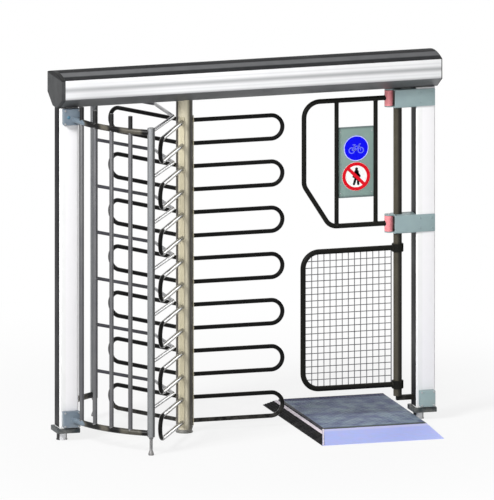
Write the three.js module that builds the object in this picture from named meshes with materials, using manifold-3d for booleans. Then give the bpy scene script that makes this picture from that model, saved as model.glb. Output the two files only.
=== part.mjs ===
// Full height turnstile with a spring gate for bicycles beside it, both under one header.
// Millimetres. +Z is up, +X runs along the header from the rotor to the gate, +Y points to the rear.
// The origin is on the floor, on the rotor's axis.
import * as THREE from "three";
import { mergeVertices } from "three/addons/utils/BufferGeometryUtils.js";
import Module from "manifold-3d";

const wasm = await Module();
wasm.setup();

// Gaps and cuts
const gap = 0.3; // seating and running gap beside a curved or turned neighbour
const overrun = 5; // how far a cutting tool runs past what it cuts
const weldSink = 2; // how far a welded piece starts inside the piece that carries it
const mergeTolerance = 0.001; // corners closer than this are one corner

// Facets
const tubeSides = 8;
const pinSides = 8;
const turnedSides = 16;
const bendSteps = 6;
const railSteps = 8;
const filletSteps = 2;
const headerCurveSteps = 6;
const boltSides = 6;

// Header
const headerUnderside = 2071;
const headerHalfDepth = 156;
const headerFlatHalf = 45;
const headerSlantRise = 68;
const headerFaceHeight = 125;
const headerCrown = 24;
const headerWall = 4;
const headerFlange = 20;
const leftCapDepth = 25;
const rightCapDepth = 6;
const endCapWall = 4;
const leftOverhang = 16;
const rightOverhang = 17;

// Posts and their feet
const postWidth = 120;
const postWall = 5;
const postCorner = 10;
const postSetback = 17; // the left post's centre lies this far outside the cage's circle
const footPlateLength = 146;
const footPlateDepth = 160;
const footPlateThickness = 28;
const footPlateOffset = 6;
const footPlateCorner = 12;
const footLegHeight = 50;
const footLegRadius = 34;
const footLegOffset = 30;

// Cage
const cageRadius = 732;
const cageEndAngle = 57.6; // degrees from the left post to each end post
const cageBarPitch = 10.65; // degrees
const cageBarCount = 4;
const cageBarRadius = 13.5;
const cageBarRise = 95;
const railRadius = 18;
const endPostRadius = 23;
const endPostBottom = 113;
const endPostRise = 33;
const cageFootRodRadius = 10;
const cageFootRadius = 17.5;
const cageFootRim = 8;
const cageFootHeight = 28;
const cageFootNutRadius = 14;
const cageFootNutHeight = 12;

// Blocks that hold the cage to the post
const blockWidth = 105;
const blockHeight = 100;
const blockDepth = 40;
const blockCorner = 6;
const blockLift = 10; // above the foot plate
const topRailDrop = 13.5; // below the middle of the top block
const bottomRailDrop = 2.5; // below the middle of the bottom block
const railPadWidth = 44;
const railPadHeight = 40;
const railPadThickness = 8;
const railPadCorner = 8;
const blockBoltRadius = 6;
const blockBoltHeight = 5;
const blockBoltInset = 9;
const postBlockWidth = 95;
const postBlockInset = 10; // from the right post's outer face

// Rotor
const wingCount = 3;
const hoopCount = 7;
const hoopHeight = 145;
const hoopTubeRadius = 13.5;
const lowestBarHeight = 70;
const rotorHeadGap = 131; // from the highest bar to the header's underside
const sweepClearance = 95; // from the rotor's reach to the middle of the cage's bars
const columnRadius = 50.8;
const columnWall = 4;
const columnFloorGap = 22;
const columnPlugThickness = 12;
const columnHeadRise = 49; // above the header's underside
const headerHoleGap = 3;
const carrierWidth = 28;
const carrierThickness = 5;
const carrierOverhang = 30;

// Comb of fixed bars
const combRadius = 11;
const combCornerRadius = 239; // where a comb bar bends, from the rotor's axis
const combBendRadius = 70;

// Floor bearing
const floorBearingRadius = 53;
const floorBearingFlange = 8;
const floorBearingTopRadius = 48;
const pivotRadius = 14;
const pivotFloorGap = 6;

// Drive in the header
const drivePlateThickness = 8;
const drivePlateLeft = 215;
const drivePlateRight = 290;
const drivePlateSideGap = 2;
const shaftRadius = 20;
const shaftFlange = 8;
const shaftSpigot = 20;
const shaftHeadGap = 24; // from the shaft's end to the header's top flanges
const headBearingRadius = 55;
const headBearingHeight = 26;
const discRadius = 85;
const discThickness = 10;
const discLift = 7; // the disc's underside above the head bearing
const discHubRadius = 34;
const discNotchCount = 12;
const discNotchWidth = 22;
const discNotchDepth = 12;
const pulleyGap = 12; // from the disc's top to the pulleys
const pulleyHeight = 18;
const rotorPulleyRadius = 70;
const motorPulleyRadius = 20;
const motorDistance = 230;
const motorRadius = 40;
const motorShaftRadius = 8;
const motorShaftRise = 8;
const beltThickness = 2;
const beltInset = 2;
const beltClearance = 0.9; // from the pulleys' rims to the belt

// Lock
const pawlX = 108;
const pawlY = 70;
const pawlHubRadius = 12;
const pawlHalfWidth = 7;
const pawlNoseHalfWidth = 4;
const pawlNoseGap = 5; // from the nose's tip to the disc's rim
const pawlTail = 38;
const pawlPinRadius = 6;
const pawlCollarRadius = 11;
const pawlPinRise = 6;
const plungerRadius = 5;
const plungerTipRadius = 2;
const plungerTipLength = 3;
const plungerLength = 62;
const plungerTipGap = 0.6; // from the plunger's tip to the pawl's tail
const plungerOffset = 30; // from the pawl's pivot
const solenoidLength = 60;
const solenoidWidth = 40;
const solenoidTopRise = 12;
const solenoidGap = 20;

// Control box
const controlX = 620;
const controlLength = 260;
const controlWidth = 84;
const controlHeight = 48;
const controlCorner = 6;

// Gate: jamb, brackets and hinges
const jambRadius = 26;
const jambWall = 3;
const jambToPost = 162; // from the jamb's axis to the right post's centre
const jambFootTop = 151;
const jambFootHeight = 30;
const jambFootWidth = 30;
const jambFootInset = 8;
const knuckleRadius = 27;
const knuckleHeight = 98;
const knuckleJambGap = 3;
const knuckleTopGap = 2;
const hingePinRadius = 8;
const hingePinHeadRadius = 12;
const hingePinHead = 4;
const hingePinTail = 4;
const hingeDrop = 782; // from the top bracket to the middle one
const bracketHeight = 108;
const bracketPlate = 8;
const bracketLug = 6;
const bracketTopGap = 7;
const bracketPostInset = 3;
const bracketPlateStart = 20; // right of the hinge's axis
const bracketBackStart = 25;
const bracketWebStart = 29;
const bracketWeb = 6;
const bracketBackY = 28;
const bracketBackPlate = 6;
const bracketCorner = 6;

// Upper leaf
const upperTipGap = 124; // from the rotor's reach to the leaf's tip
const upperTubeRadius = 15;
const upperBarDrop = 56; // below the bracket's top
const upperBarRadius = 13.5;
const upperInnerBarOne = 207;
const upperInnerBarTwo = 455;
const upperChamferWidth = 165;
const upperChamferHeight = 262;
const leafCornerRadius = 100;
const chamferCornerRadius = 80;
const signRise = 172;
const signHeight = 441;
const signThickness = 3;
const signDiscThickness = 2;
const signDiscGap = 6; // between the two round signs
const cycleSignRadius = 80;
const walkSignRadius = 89;
const walkSignRise = 131;

// Lower leaf
const lowerTipGap = 118;
const lowerReach = 601;
const lowerTubeRadius = 16.5;
const lowerBottomBar = 220;
const lowerTopDrop = 104; // below the middle bracket
const collarRadius = 36;
const collarHeight = 50;
const meshColumns = 14;
const meshRows = 20;
const meshWire = 4;
const meshBorder = 6;
const meshJambGap = 5;

// Platform
const deckHeight = 30;
const deckSheet = 5;
const deckSkirt = 5;
const deckRibCount = 2;
const deckFront = 305;
const deckRear = 646;
const deckInset = 32; // right of the lower leaf's tip
const rampLength = 338;
const rampFlare = 10;
const sideRampWidth = 98;
const rampLip = 2;
const rampSkirt = 10; // under the front ramp's flared side
const rampSeam = 0.6; // between the two ramps

// Places that follow from the sizes
const footPlateTop = footLegHeight + footPlateThickness;
const leftPostX = -(cageRadius + postSetback);
const rotorReach = cageRadius - sweepClearance;
const upperTipX = rotorReach + upperTipGap;
const lowerTipX = rotorReach + lowerTipGap;
const jambX = lowerTipX + lowerReach;
const rightPostX = jambX + jambToPost;
const hingeX = jambX - jambRadius - knuckleJambGap - knuckleRadius;
const postFace = postWidth / 2;
const headerShoulder = headerUnderside + headerSlantRise;
const headerTopEdge = headerShoulder + headerFaceHeight;
const headerSlope = Math.atan2(headerSlantRise, headerHalfDepth - headerFlatHalf);
const headerLeft = leftPostX - postFace - leftOverhang;
const headerRight = rightPostX + postFace + rightOverhang;
const topBlockBottom = headerUnderside - blockHeight;
const bottomBlockBottom = footPlateTop + blockLift;
const topRailZ = topBlockBottom + blockHeight / 2 - topRailDrop;
const bottomRailZ = bottomBlockBottom + blockHeight / 2 - bottomRailDrop;
const highestBarZ = headerUnderside - rotorHeadGap;
const hoopPitch = (highestBarZ - lowestBarHeight - hoopHeight) / (hoopCount - 1);
const combLowestZ = lowestBarHeight + (hoopPitch + hoopHeight) / 2;
const bracketTop = headerUnderside - bracketTopGap;
const knuckleDrop = bracketLug + knuckleTopGap;
const lowerTopBar = bracketTop - hingeDrop - knuckleDrop - knuckleHeight - lowerTopDrop;
const upperTopBar = bracketTop - upperBarDrop;
const upperBottomBar = upperTopBar - hingeDrop;
const drivePlateBottom = headerShoulder + headerWall;
const drivePlateTop = drivePlateBottom + drivePlateThickness;
const headBearingTop = drivePlateTop + headBearingHeight;
const discBottom = headBearingTop + discLift;
const discTop = discBottom + discThickness;
const pulleyBottom = discTop + pulleyGap;
const pulleyTop = pulleyBottom + pulleyHeight;
const columnTop = headerUnderside + columnHeadRise;

// Materials
function paint(color, roughness, metalness) {
  return new THREE.MeshStandardMaterial({ color, roughness, metalness });
}
const whitePaint = paint(0xeeeeec, 0.45, 0.1);
const brightSteel = paint(0xdcdedf, 0.3, 0.9);
const greySteel = paint(0x7a7a78, 0.4, 0.7);
const darkGrey = paint(0x505256, 0.5, 0.3);
const blackPaint = paint(0x1c1c1c, 0.4, 0.3);
const creamPaint = paint(0xd9d2b4, 0.45, 0.1);
const blockPaint = paint(0x96a5a8, 0.5, 0.2);
const redPaint = paint(0xe68287, 0.4, 0.1);
const signGrey = paint(0x8d9a98, 0.5, 0.2);
const signBlue = paint(0x1f4fd0, 0.4, 0);
const signRed = paint(0xd8322f, 0.4, 0);
const deckBlue = paint(0x6a7080, 0.5, 0.5);
const rampBlue = paint(0xaab4ff, 0.5, 0.1);
const zincSteel = paint(0xb9bcbf, 0.35, 0.9);
const rubberBlack = paint(0x151515, 0.9, 0);

const turnstile = new THREE.Group();

// Solids

// A closed three.js geometry as a solid whose faces point out.
function solid(geometry) {
  const bare = new THREE.BufferGeometry();
  bare.setAttribute("position", geometry.getAttribute("position"));
  if (geometry.index) bare.setIndex(geometry.index);
  const merged = mergeVertices(bare, mergeTolerance);
  const corners = [];
  const index = merged.index.array;
  for (let i = 0; i < index.length; i += 3) {
    const [a, b, c] = [index[i], index[i + 1], index[i + 2]];
    if (a !== b && b !== c && c !== a) corners.push(a, b, c);
  }
  const vertProperties = merged.attributes.position.array;
  const build = (triVerts) => new wasm.Manifold(new wasm.Mesh({ numProp: 3, vertProperties, triVerts }));
  const made = build(new Uint32Array(corners));
  return made.volume() < 0 ? build(new Uint32Array(corners.reverse())) : made;
}

function join(solids) {
  return solids.reduce((sum, next) => sum.add(next));
}

function cut(body, tools) {
  return tools.reduce((rest, tool) => rest.subtract(tool), body);
}

// Adds one named piece to the turnstile.
function piece(name, body, material) {
  const { vertProperties, triVerts, numProp } = body.getMesh();
  const geometry = new THREE.BufferGeometry();
  const corners = new THREE.InterleavedBuffer(vertProperties, numProp);
  geometry.setAttribute("position", new THREE.InterleavedBufferAttribute(corners, 3, 0));
  geometry.setIndex(new THREE.BufferAttribute(triVerts, 1));
  const mesh = new THREE.Mesh(geometry.toNonIndexed(), material);
  mesh.geometry.computeVertexNormals();
  mesh.name = name;
  turnstile.add(mesh);
}

function box([x0, x1], [y0, y1], [z0, z1]) {
  const geometry = new THREE.BoxGeometry(x1 - x0, y1 - y0, z1 - z0);
  return solid(geometry.translate((x0 + x1) / 2, (y0 + y1) / 2, (z0 + z1) / 2));
}

// An upright rod. Its facets' corners lie on the radius.
function rod(radius, [x, y], [z0, z1], sides) {
  const geometry = new THREE.CylinderGeometry(radius, radius, z1 - z0, sides);
  return solid(geometry.rotateX(Math.PI / 2).translate(x, y, (z0 + z1) / 2));
}

// A turned piece from its profile of [radius, height] points, closed on the axis or on itself.
function turned(profile, [x, y], sides) {
  const points = [...profile, profile[0]].map(([r, z]) => new THREE.Vector2(r, z));
  return solid(new THREE.LatheGeometry(points, sides).rotateX(Math.PI / 2).translate(x, y, 0));
}

function extruded(shape, depth, curveSegments = filletSteps) {
  return new THREE.ExtrudeGeometry(shape, { depth, bevelEnabled: false, curveSegments });
}

// Plan shape in X and Y, raised from z0 to z1.
function prismZ(shape, [z0, z1]) {
  return solid(extruded(shape, z1 - z0).translate(0, 0, z0));
}

// Elevation shape in X and Z, from y0 to y1.
function prismY(shape, [y0, y1], curveSegments = filletSteps) {
  return solid(extruded(shape, y1 - y0, curveSegments).rotateX(Math.PI / 2).translate(0, y1, 0));
}

// Section shape in Y and Z, from x0 to x1.
function prismX(shape, [x0, x1]) {
  const turn = new THREE.Matrix4().makeBasis(
    new THREE.Vector3(0, 1, 0),
    new THREE.Vector3(0, 0, 1),
    new THREE.Vector3(1, 0, 0),
  );
  return solid(extruded(shape, x1 - x0, headerCurveSteps).applyMatrix4(turn).translate(x0, 0, 0));
}

// A rectangle with round corners.
function roundedRectangle([x0, x1], [y0, y1], r) {
  const shape = new THREE.Shape();
  shape.moveTo(x0 + r, y0);
  shape.absarc(x1 - r, y0 + r, r, -Math.PI / 2, 0);
  shape.absarc(x1 - r, y1 - r, r, 0, Math.PI / 2);
  shape.absarc(x0 + r, y1 - r, r, Math.PI / 2, Math.PI);
  shape.absarc(x0 + r, y0 + r, r, Math.PI, Math.PI * 1.5);
  shape.closePath();
  return shape;
}

// A path of stations, each a point and the direction there, for a tube to follow.
class Route extends THREE.Curve {
  constructor(stations) {
    super();
    this.stations = stations;
  }
  stationAt(u) {
    return this.stations[Math.round(u * (this.stations.length - 1))];
  }
  getPointAt(u) {
    return this.stationAt(u).point.clone();
  }
  getTangentAt(u) {
    return this.stationAt(u).direction.clone();
  }
}

// Stations along straight runs between points, with each inner corner turned by an arc.
function bentRoute(points, bendRadii, steps) {
  const stations = [];
  const heading = (a, b) => b.clone().sub(a).normalize();
  stations.push({ point: points[0], direction: heading(points[0], points[1]) });
  for (let i = 1; i < points.length - 1; i++) {
    const before = heading(points[i - 1], points[i]);
    const after = heading(points[i], points[i + 1]);
    const turn = before.angleTo(after);
    const radius = bendRadii[i - 1];
    const start = points[i].clone().addScaledVector(before, -radius * Math.tan(turn / 2));
    const side = after.clone().addScaledVector(before, -after.dot(before)).normalize();
    for (let k = 0; k <= steps; k++) {
      const a = (turn * k) / steps;
      const point = start.clone().addScaledVector(before, radius * Math.sin(a));
      point.addScaledVector(side, radius * (1 - Math.cos(a)));
      const direction = before.clone().multiplyScalar(Math.cos(a)).addScaledVector(side, Math.sin(a));
      stations.push({ point, direction });
    }
  }
  const last = points.length - 1;
  stations.push({ point: points[last], direction: heading(points[last - 1], points[last]) });
  return new Route(stations);
}

// Stations round a level arc about the rotor's axis. Angles are in degrees.
function arcRoute(radius, z, from, to, steps) {
  const stations = [];
  for (let k = 0; k <= steps; k++) {
    const a = THREE.MathUtils.degToRad(from + ((to - from) * k) / steps);
    const turn = Math.sign(to - from);
    const point = new THREE.Vector3(radius * Math.cos(a), radius * Math.sin(a), z);
    stations.push({ point, direction: new THREE.Vector3(-turn * Math.sin(a), turn * Math.cos(a), 0) });
  }
  return new Route(stations);
}

function circle(radius, sides) {
  const corners = [];
  for (let i = 0; i < sides; i++) {
    const a = (2 * Math.PI * i) / sides;
    corners.push(new THREE.Vector2(radius * Math.cos(a), radius * Math.sin(a)));
  }
  return new THREE.Shape(corners);
}

function tube(route, radius) {
  const steps = route.stations.length - 1;
  return solid(new THREE.ExtrudeGeometry(circle(radius, tubeSides), { steps, extrudePath: route }));
}

function onCircle(radius, degrees) {
  const a = THREE.MathUtils.degToRad(degrees);
  return [radius * Math.cos(a), radius * Math.sin(a)];
}

function around(centre, half) {
  return [centre - half, centre + half];
}

// The radius to the corners of a faceted bore whose flats clear a shaft that turns in it.
function boreRadius(shaft, sides) {
  return (shaft + gap) / Math.cos(Math.PI / sides);
}

// Posts

function makePost(name, x) {
  const outline = roundedRectangle(around(x, postFace), around(0, postFace), postCorner);
  const bore = roundedRectangle(
    around(x, postFace - postWall),
    around(0, postFace - postWall),
    postCorner - postWall,
  );
  outline.holes.push(bore);
  piece(name, prismZ(outline, [footPlateTop, headerUnderside]), whitePaint);
}

function makeFoot(name, x) {
  const outline = roundedRectangle(
    around(x - footPlateOffset, footPlateLength / 2),
    around(0, footPlateDepth / 2),
    footPlateCorner,
  );
  const plate = prismZ(outline, [footLegHeight, footPlateTop]);
  const leg = rod(footLegRadius, [x - footLegOffset, 0], [0, footLegHeight + weldSink], turnedSides);
  piece(name, join([plate, leg]), darkGrey);
}

// Header

// The lower corners of the header's section in Y and Z, from the rear shoulder to the front one,
// with the wall taken off inside.
function underCorners(wall) {
  const seat = headerHalfDepth - wall / Math.sin(headerSlope);
  const flat = headerFlatHalf - wall * Math.tan(headerSlope / 2);
  const bottom = headerUnderside + wall;
  return [
    [seat, headerShoulder],
    [flat, bottom],
    [-flat, bottom],
    [-seat, headerShoulder],
  ];
}

// The header's whole outline, drawn in by the wall on every side.
function headerOutline(wall) {
  const half = headerHalfDepth - wall;
  const shape = new THREE.Shape();
  shape.moveTo(-half, headerShoulder);
  shape.lineTo(-half, headerTopEdge);
  shape.quadraticCurveTo(0, headerTopEdge + 2 * (headerCrown - wall), half, headerTopEdge);
  shape.lineTo(half, headerShoulder);
  for (const [y, z] of underCorners(wall)) shape.lineTo(y, z);
  return shape;
}

function makeTray(span) {
  const corners = [...underCorners(0), ...underCorners(headerWall).reverse()];
  const shape = new THREE.Shape(corners.map(([y, z]) => new THREE.Vector2(y, z)));
  const hole = rod(
    columnRadius + headerHoleGap,
    [0, 0],
    [headerUnderside - overrun, headerShoulder],
    turnedSides,
  );
  piece("header_tray", cut(prismX(shape, span), [hole]), darkGrey);
}

// A long cover with a flange turned in at its top and bottom. Side is -1 at the front, 1 at the rear.
function makeCover(name, side, span) {
  const outer = side * headerHalfDepth;
  const face = side * (headerHalfDepth - headerWall);
  const lip = side * (headerHalfDepth - headerFlange);
  const corners = [
    [outer, headerShoulder],
    [outer, headerTopEdge],
    [lip, headerTopEdge],
    [lip, headerTopEdge - headerWall],
    [face, headerTopEdge - headerWall],
    [face, headerShoulder + headerWall],
    [lip, headerShoulder + headerWall],
    [lip, headerShoulder],
  ];
  const shape = new THREE.Shape(corners.map(([y, z]) => new THREE.Vector2(y, z)));
  piece(name, prismX(shape, span), brightSteel);
}

function makeLid(span) {
  const seat = headerHalfDepth - headerFlange / 2;
  const shape = new THREE.Shape();
  shape.moveTo(headerHalfDepth, headerTopEdge);
  shape.quadraticCurveTo(0, headerTopEdge + 2 * headerCrown, -headerHalfDepth, headerTopEdge);
  shape.lineTo(-seat, headerTopEdge);
  shape.quadraticCurveTo(0, headerTopEdge + 2 * (headerCrown - headerWall), seat, headerTopEdge);
  piece("header_lid", prismX(shape, span), darkGrey);
}

// An end cap is a plate with a rim, open towards the header.
function makeEndCap(name, outer, mouth) {
  const towards = Math.sign(mouth - outer);
  const face = outer + towards * endCapWall;
  const past = mouth + towards * overrun;
  const ordered = (a, b) => [Math.min(a, b), Math.max(a, b)];
  const block = prismX(headerOutline(0), ordered(outer, mouth));
  const pocket = prismX(headerOutline(endCapWall), ordered(face, past));
  piece(name, cut(block, [pocket]), darkGrey);
}

function makeHeader() {
  const span = [headerLeft + leftCapDepth, headerRight - rightCapDepth];
  makeTray(span);
  makeCover("header_front_cover", -1, span);
  makeCover("header_rear_cover", 1, span);
  makeLid(span);
  makeEndCap("header_end_cap_left", headerLeft, span[0]);
  makeEndCap("header_end_cap_right", headerRight, span[1]);
}

// Cage

// A block on the post's front (side -1) or rear (side 1), with a bolt head in each corner.
function makeBlock(name, x, bottom, side) {
  const z = [bottom, bottom + blockHeight];
  const y = [postFace, postFace + blockDepth].map((depth) => side * depth).sort((a, b) => a - b);
  const outline = roundedRectangle(x, z, blockCorner);
  const face = side * (postFace + blockDepth);
  const heads = [];
  for (const hx of [x[0] + blockBoltInset, x[1] - blockBoltInset])
    for (const hz of [z[0] + blockBoltInset, z[1] - blockBoltInset]) {
      const ends = [face - side * weldSink, face + side * blockBoltHeight].sort((a, b) => a - b);
      heads.push(solidHead(hx, hz, ends));
    }
  piece(name, join([prismY(outline, y), ...heads]), blockPaint);
}

// A six-sided bolt head whose axis is along Y.
function solidHead(x, z, [y0, y1]) {
  const geometry = new THREE.CylinderGeometry(blockBoltRadius, blockBoltRadius, y1 - y0, boltSides);
  return solid(geometry.translate(x, (y0 + y1) / 2, z));
}

// Half of the cage, as one weldment: two rails, the upright bars, the end post and the pads
// at the rails' ends. Side is -1 at the front, 1 at the rear.
function makeCagePanel(name, side) {
  const padMiddle = postFace + blockDepth + railPadThickness / 2;
  const startAngle = 180 - side * THREE.MathUtils.radToDeg(Math.asin(padMiddle / cageRadius));
  const endAngle = 180 - side * cageEndAngle;
  const parts = [];
  for (const z of [bottomRailZ, topRailZ]) {
    parts.push(tube(arcRoute(cageRadius, z, startAngle, endAngle, railSteps), railRadius));
    parts.push(railPad(z, side * padMiddle));
  }
  for (let i = 1; i <= cageBarCount; i++) {
    const place = onCircle(cageRadius, 180 - side * (cageEndAngle - i * cageBarPitch));
    parts.push(rod(cageBarRadius, place, [bottomRailZ, topRailZ + cageBarRise], tubeSides));
  }
  const endPlace = onCircle(cageRadius, endAngle);
  parts.push(rod(endPostRadius, endPlace, [endPostBottom, topRailZ + endPostRise], pinSides));
  piece(name, join(parts), greySteel);
}

// The pad that seats a rail's end on its block, between the block's bolt heads.
function railPad(z, y) {
  const x = -Math.sqrt(cageRadius ** 2 - y ** 2);
  const outline = roundedRectangle(around(x, railPadWidth / 2), around(z, railPadHeight / 2), railPadCorner);
  return prismY(outline, around(y, railPadThickness / 2));
}

// A screw foot under an end post: a bell, its rod and the lock nut.
function makeCageFoot(name, side) {
  const nutBottom = endPostBottom - cageFootNutHeight;
  const profile = [
    [0, 0],
    [cageFootRadius, 0],
    [cageFootRadius, cageFootRim],
    [cageFootRodRadius, cageFootHeight],
    [cageFootRodRadius, nutBottom],
    [cageFootNutRadius, nutBottom],
    [cageFootNutRadius, endPostBottom],
    [0, endPostBottom],
  ];
  const place = onCircle(cageRadius, 180 - side * cageEndAngle);
  piece(name, turned(profile, place, pinSides), zincSteel);
}

function makeCage() {
  const right = leftPostX + postFace;
  const span = [right - blockWidth, right];
  const sides = [
    ["front", -1],
    ["rear", 1],
  ];
  for (const [word, side] of sides) {
    makeBlock(`cage_block_${word}_top`, span, topBlockBottom, side);
    makeBlock(`cage_block_${word}_bottom`, span, bottomBlockBottom, side);
    makeCagePanel(`cage_${word}_panel`, side);
    makeCageFoot(`cage_foot_${word}`, side);
  }
}

// The block on the right post's front.
function makePostBlock() {
  const right = rightPostX + postFace - postBlockInset;
  makeBlock("post_block_right", [right - postBlockWidth, right], bottomBlockBottom, -1);
}

// Comb

// A fixed bar from the rear end post, past the rotor's column between two hoops, to the front one.
function makeCombBar(index) {
  const z = combLowestZ + index * hoopPitch;
  const ends = cageRadius - endPostRadius - gap;
  const at = (radius, side) => new THREE.Vector3(...onCircle(radius, 180 - side * cageEndAngle), z);
  const points = [at(ends, 1), at(combCornerRadius, 1), at(combCornerRadius, -1), at(ends, -1)];
  const route = bentRoute(points, [combBendRadius, combBendRadius], filletSteps);
  piece(`comb_bar_${index + 1}`, tube(route, combRadius), greySteel);
}

// Rotor

// One hoop: two level bars joined at the tip by a half circle.
function hoop(z, start) {
  const turnRadius = hoopHeight / 2;
  const turnStart = rotorReach - hoopTubeRadius - turnRadius;
  const level = new THREE.Vector3(1, 0, 0);
  const stations = [{ point: new THREE.Vector3(start, 0, z), direction: level }];
  for (let k = 0; k <= bendSteps; k++) {
    const a = (Math.PI * k) / bendSteps;
    const x = turnStart + turnRadius * Math.sin(a);
    const point = new THREE.Vector3(x, 0, z + turnRadius * (1 - Math.cos(a)));
    stations.push({ point, direction: new THREE.Vector3(Math.cos(a), 0, Math.sin(a)) });
  }
  const back = level.clone().negate();
  stations.push({ point: new THREE.Vector3(start, 0, z + hoopHeight), direction: back });
  return tube(new Route(stations), hoopTubeRadius);
}

// A wing is a carrier strip on the column with every hoop of that wing welded to it.
function makeWing(index) {
  const face = columnRadius + gap;
  const carrier = box(
    [face, face + carrierThickness],
    around(0, carrierWidth / 2),
    [lowestBarHeight - carrierOverhang, highestBarZ + carrierOverhang],
  );
  const parts = [carrier];
  for (let j = 0; j < hoopCount; j++)
    parts.push(hoop(lowestBarHeight + j * hoopPitch, face + carrierThickness - weldSink));
  piece(`rotor_wing_${index + 1}`, join(parts).rotate([0, 0, (360 * index) / wingCount]), blackPaint);
}

function makeColumn() {
  const bottom = columnFloorGap + gap;
  const bore = columnRadius - columnWall;
  const profile = [
    [0, pivotFloorGap],
    [pivotRadius, pivotFloorGap],
    [pivotRadius, bottom],
    [columnRadius, bottom],
    [columnRadius, columnTop],
    [bore, columnTop],
    [bore, bottom + columnPlugThickness],
    [0, bottom + columnPlugThickness],
  ];
  piece("rotor_column", turned(profile, [0, 0], turnedSides), creamPaint);
}

function makeShaft() {
  const spigot = columnRadius - columnWall - gap;
  const profile = [
    [0, columnTop - shaftSpigot],
    [spigot, columnTop - shaftSpigot],
    [spigot, columnTop],
    [columnRadius, columnTop],
    [columnRadius, columnTop + shaftFlange],
    [shaftRadius, columnTop + shaftFlange],
    [shaftRadius, headerTopEdge - shaftHeadGap],
    [0, headerTopEdge - shaftHeadGap],
  ];
  piece("rotor_shaft", turned(profile, [0, 0], turnedSides), zincSteel);
}

function makeFloorBearing() {
  const bore = boreRadius(pivotRadius, turnedSides);
  const profile = [
    [0, 0],
    [floorBearingRadius, 0],
    [floorBearingRadius, floorBearingFlange],
    [floorBearingTopRadius, columnFloorGap],
    [bore, columnFloorGap],
    [bore, pivotFloorGap - gap],
    [0, pivotFloorGap - gap],
  ];
  piece("floor_bearing", turned(profile, [0, 0], turnedSides), greySteel);
}

// Drive

function ring(outer, inner, [z0, z1], place) {
  const profile = [
    [inner, z0],
    [outer, z0],
    [outer, z1],
    [inner, z1],
  ];
  return turned(profile, place, turnedSides);
}

// The plate across the header that carries the drive, with the pawl's pin welded on.
function makeDrivePlate() {
  const half = headerHalfDepth - headerWall - drivePlateSideGap;
  const plate = box([-drivePlateLeft, drivePlateRight], around(0, half), [drivePlateBottom, drivePlateTop]);
  const hole = rod(
    shaftRadius + headerHoleGap,
    [0, 0],
    [drivePlateBottom - overrun, drivePlateTop + overrun],
    turnedSides,
  );
  const pinProfile = [
    [0, drivePlateTop - weldSink],
    [pawlCollarRadius, drivePlateTop - weldSink],
    [pawlCollarRadius, discBottom - gap],
    [pawlPinRadius, discBottom - gap],
    [pawlPinRadius, discTop + pawlPinRise],
    [0, discTop + pawlPinRise],
  ];
  const pin = turned(pinProfile, [-pawlX, pawlY], pinSides);
  piece("drive_plate", join([cut(plate, [hole]), pin]), zincSteel);
}

function makeHeadBearing() {
  const bore = boreRadius(shaftRadius, turnedSides);
  const body = ring(headBearingRadius, bore, [drivePlateTop, headBearingTop], [0, 0]);
  piece("head_bearing", body, greySteel);
}

function makeLockingDisc() {
  const disc = ring(discRadius, shaftRadius + gap, [discBottom, discTop], [0, 0]);
  const hub = ring(discHubRadius, shaftRadius + gap, [headBearingTop + gap, pulleyBottom], [0, 0]);
  const notches = [];
  for (let i = 0; i < discNotchCount; i++) {
    const slot = box(
      [discRadius - discNotchDepth, discRadius + overrun],
      around(0, discNotchWidth / 2),
      [discBottom - overrun, discTop + overrun],
    );
    notches.push(slot.rotate([0, 0, (360 * i) / discNotchCount]));
  }
  piece("locking_disc", join([cut(disc, notches), hub]), zincSteel);
}

function makePulleys() {
  const rotorPulley = ring(rotorPulleyRadius, shaftRadius + gap, [pulleyBottom, pulleyTop], [0, 0]);
  piece("rotor_pulley", rotorPulley, greySteel);
  const motorTop = pulleyBottom - motorShaftRise;
  const profile = [
    [0, motorTop + gap],
    [motorShaftRadius, motorTop + gap],
    [motorShaftRadius, pulleyBottom],
    [motorPulleyRadius, pulleyBottom],
    [motorPulleyRadius, pulleyTop],
    [0, pulleyTop],
  ];
  piece("motor_pulley", turned(profile, [motorDistance, 0], turnedSides), greySteel);
  const motor = rod(motorRadius, [motorDistance, 0], [drivePlateTop, motorTop], turnedSides);
  piece("drive_motor", motor, darkGrey);
}

// A loop round both pulleys: two arcs and the two straight runs that touch them.
function beltOutline(grow, steps) {
  const [big, small] = [rotorPulleyRadius + grow, motorPulleyRadius + grow];
  const lean = Math.acos((big - small) / motorDistance);
  const points = [];
  for (let k = 0; k <= steps; k++) {
    const a = lean + ((2 * Math.PI - 2 * lean) * k) / steps;
    points.push(new THREE.Vector2(big * Math.cos(a), big * Math.sin(a)));
  }
  for (let k = 0; k <= steps; k++) {
    const a = -lean + (2 * lean * k) / steps;
    points.push(new THREE.Vector2(motorDistance + small * Math.cos(a), small * Math.sin(a)));
  }
  return points;
}

function makeBelt() {
  const shape = new THREE.Shape(beltOutline(beltClearance + beltThickness, turnedSides));
  shape.holes.push(new THREE.Path(beltOutline(beltClearance, turnedSides)));
  piece("drive_belt", prismZ(shape, [pulleyBottom + beltInset, pulleyTop - beltInset]), rubberBlack);
}

// Lock

// The pawl lies beside the disc. Its nose faces the notches and its tail meets the plunger.
function makePawl() {
  const z = [discBottom, discTop];
  const hub = rod(pawlHubRadius, [-pawlX, pawlY], z, turnedSides);
  const arm = box(around(-pawlX, pawlHalfWidth), [-pawlHalfWidth, pawlY + pawlTail], z);
  const tip = -(discRadius + pawlNoseGap);
  const nose = box([-pawlX, tip], around(0, pawlNoseHalfWidth), z);
  const bore = rod(
    boreRadius(pawlPinRadius, pinSides),
    [-pawlX, pawlY],
    [discBottom - overrun, discTop + overrun],
    pinSides,
  );
  piece("locking_pawl", cut(join([hub, arm, nose]), [bore]), zincSteel);
}

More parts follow.
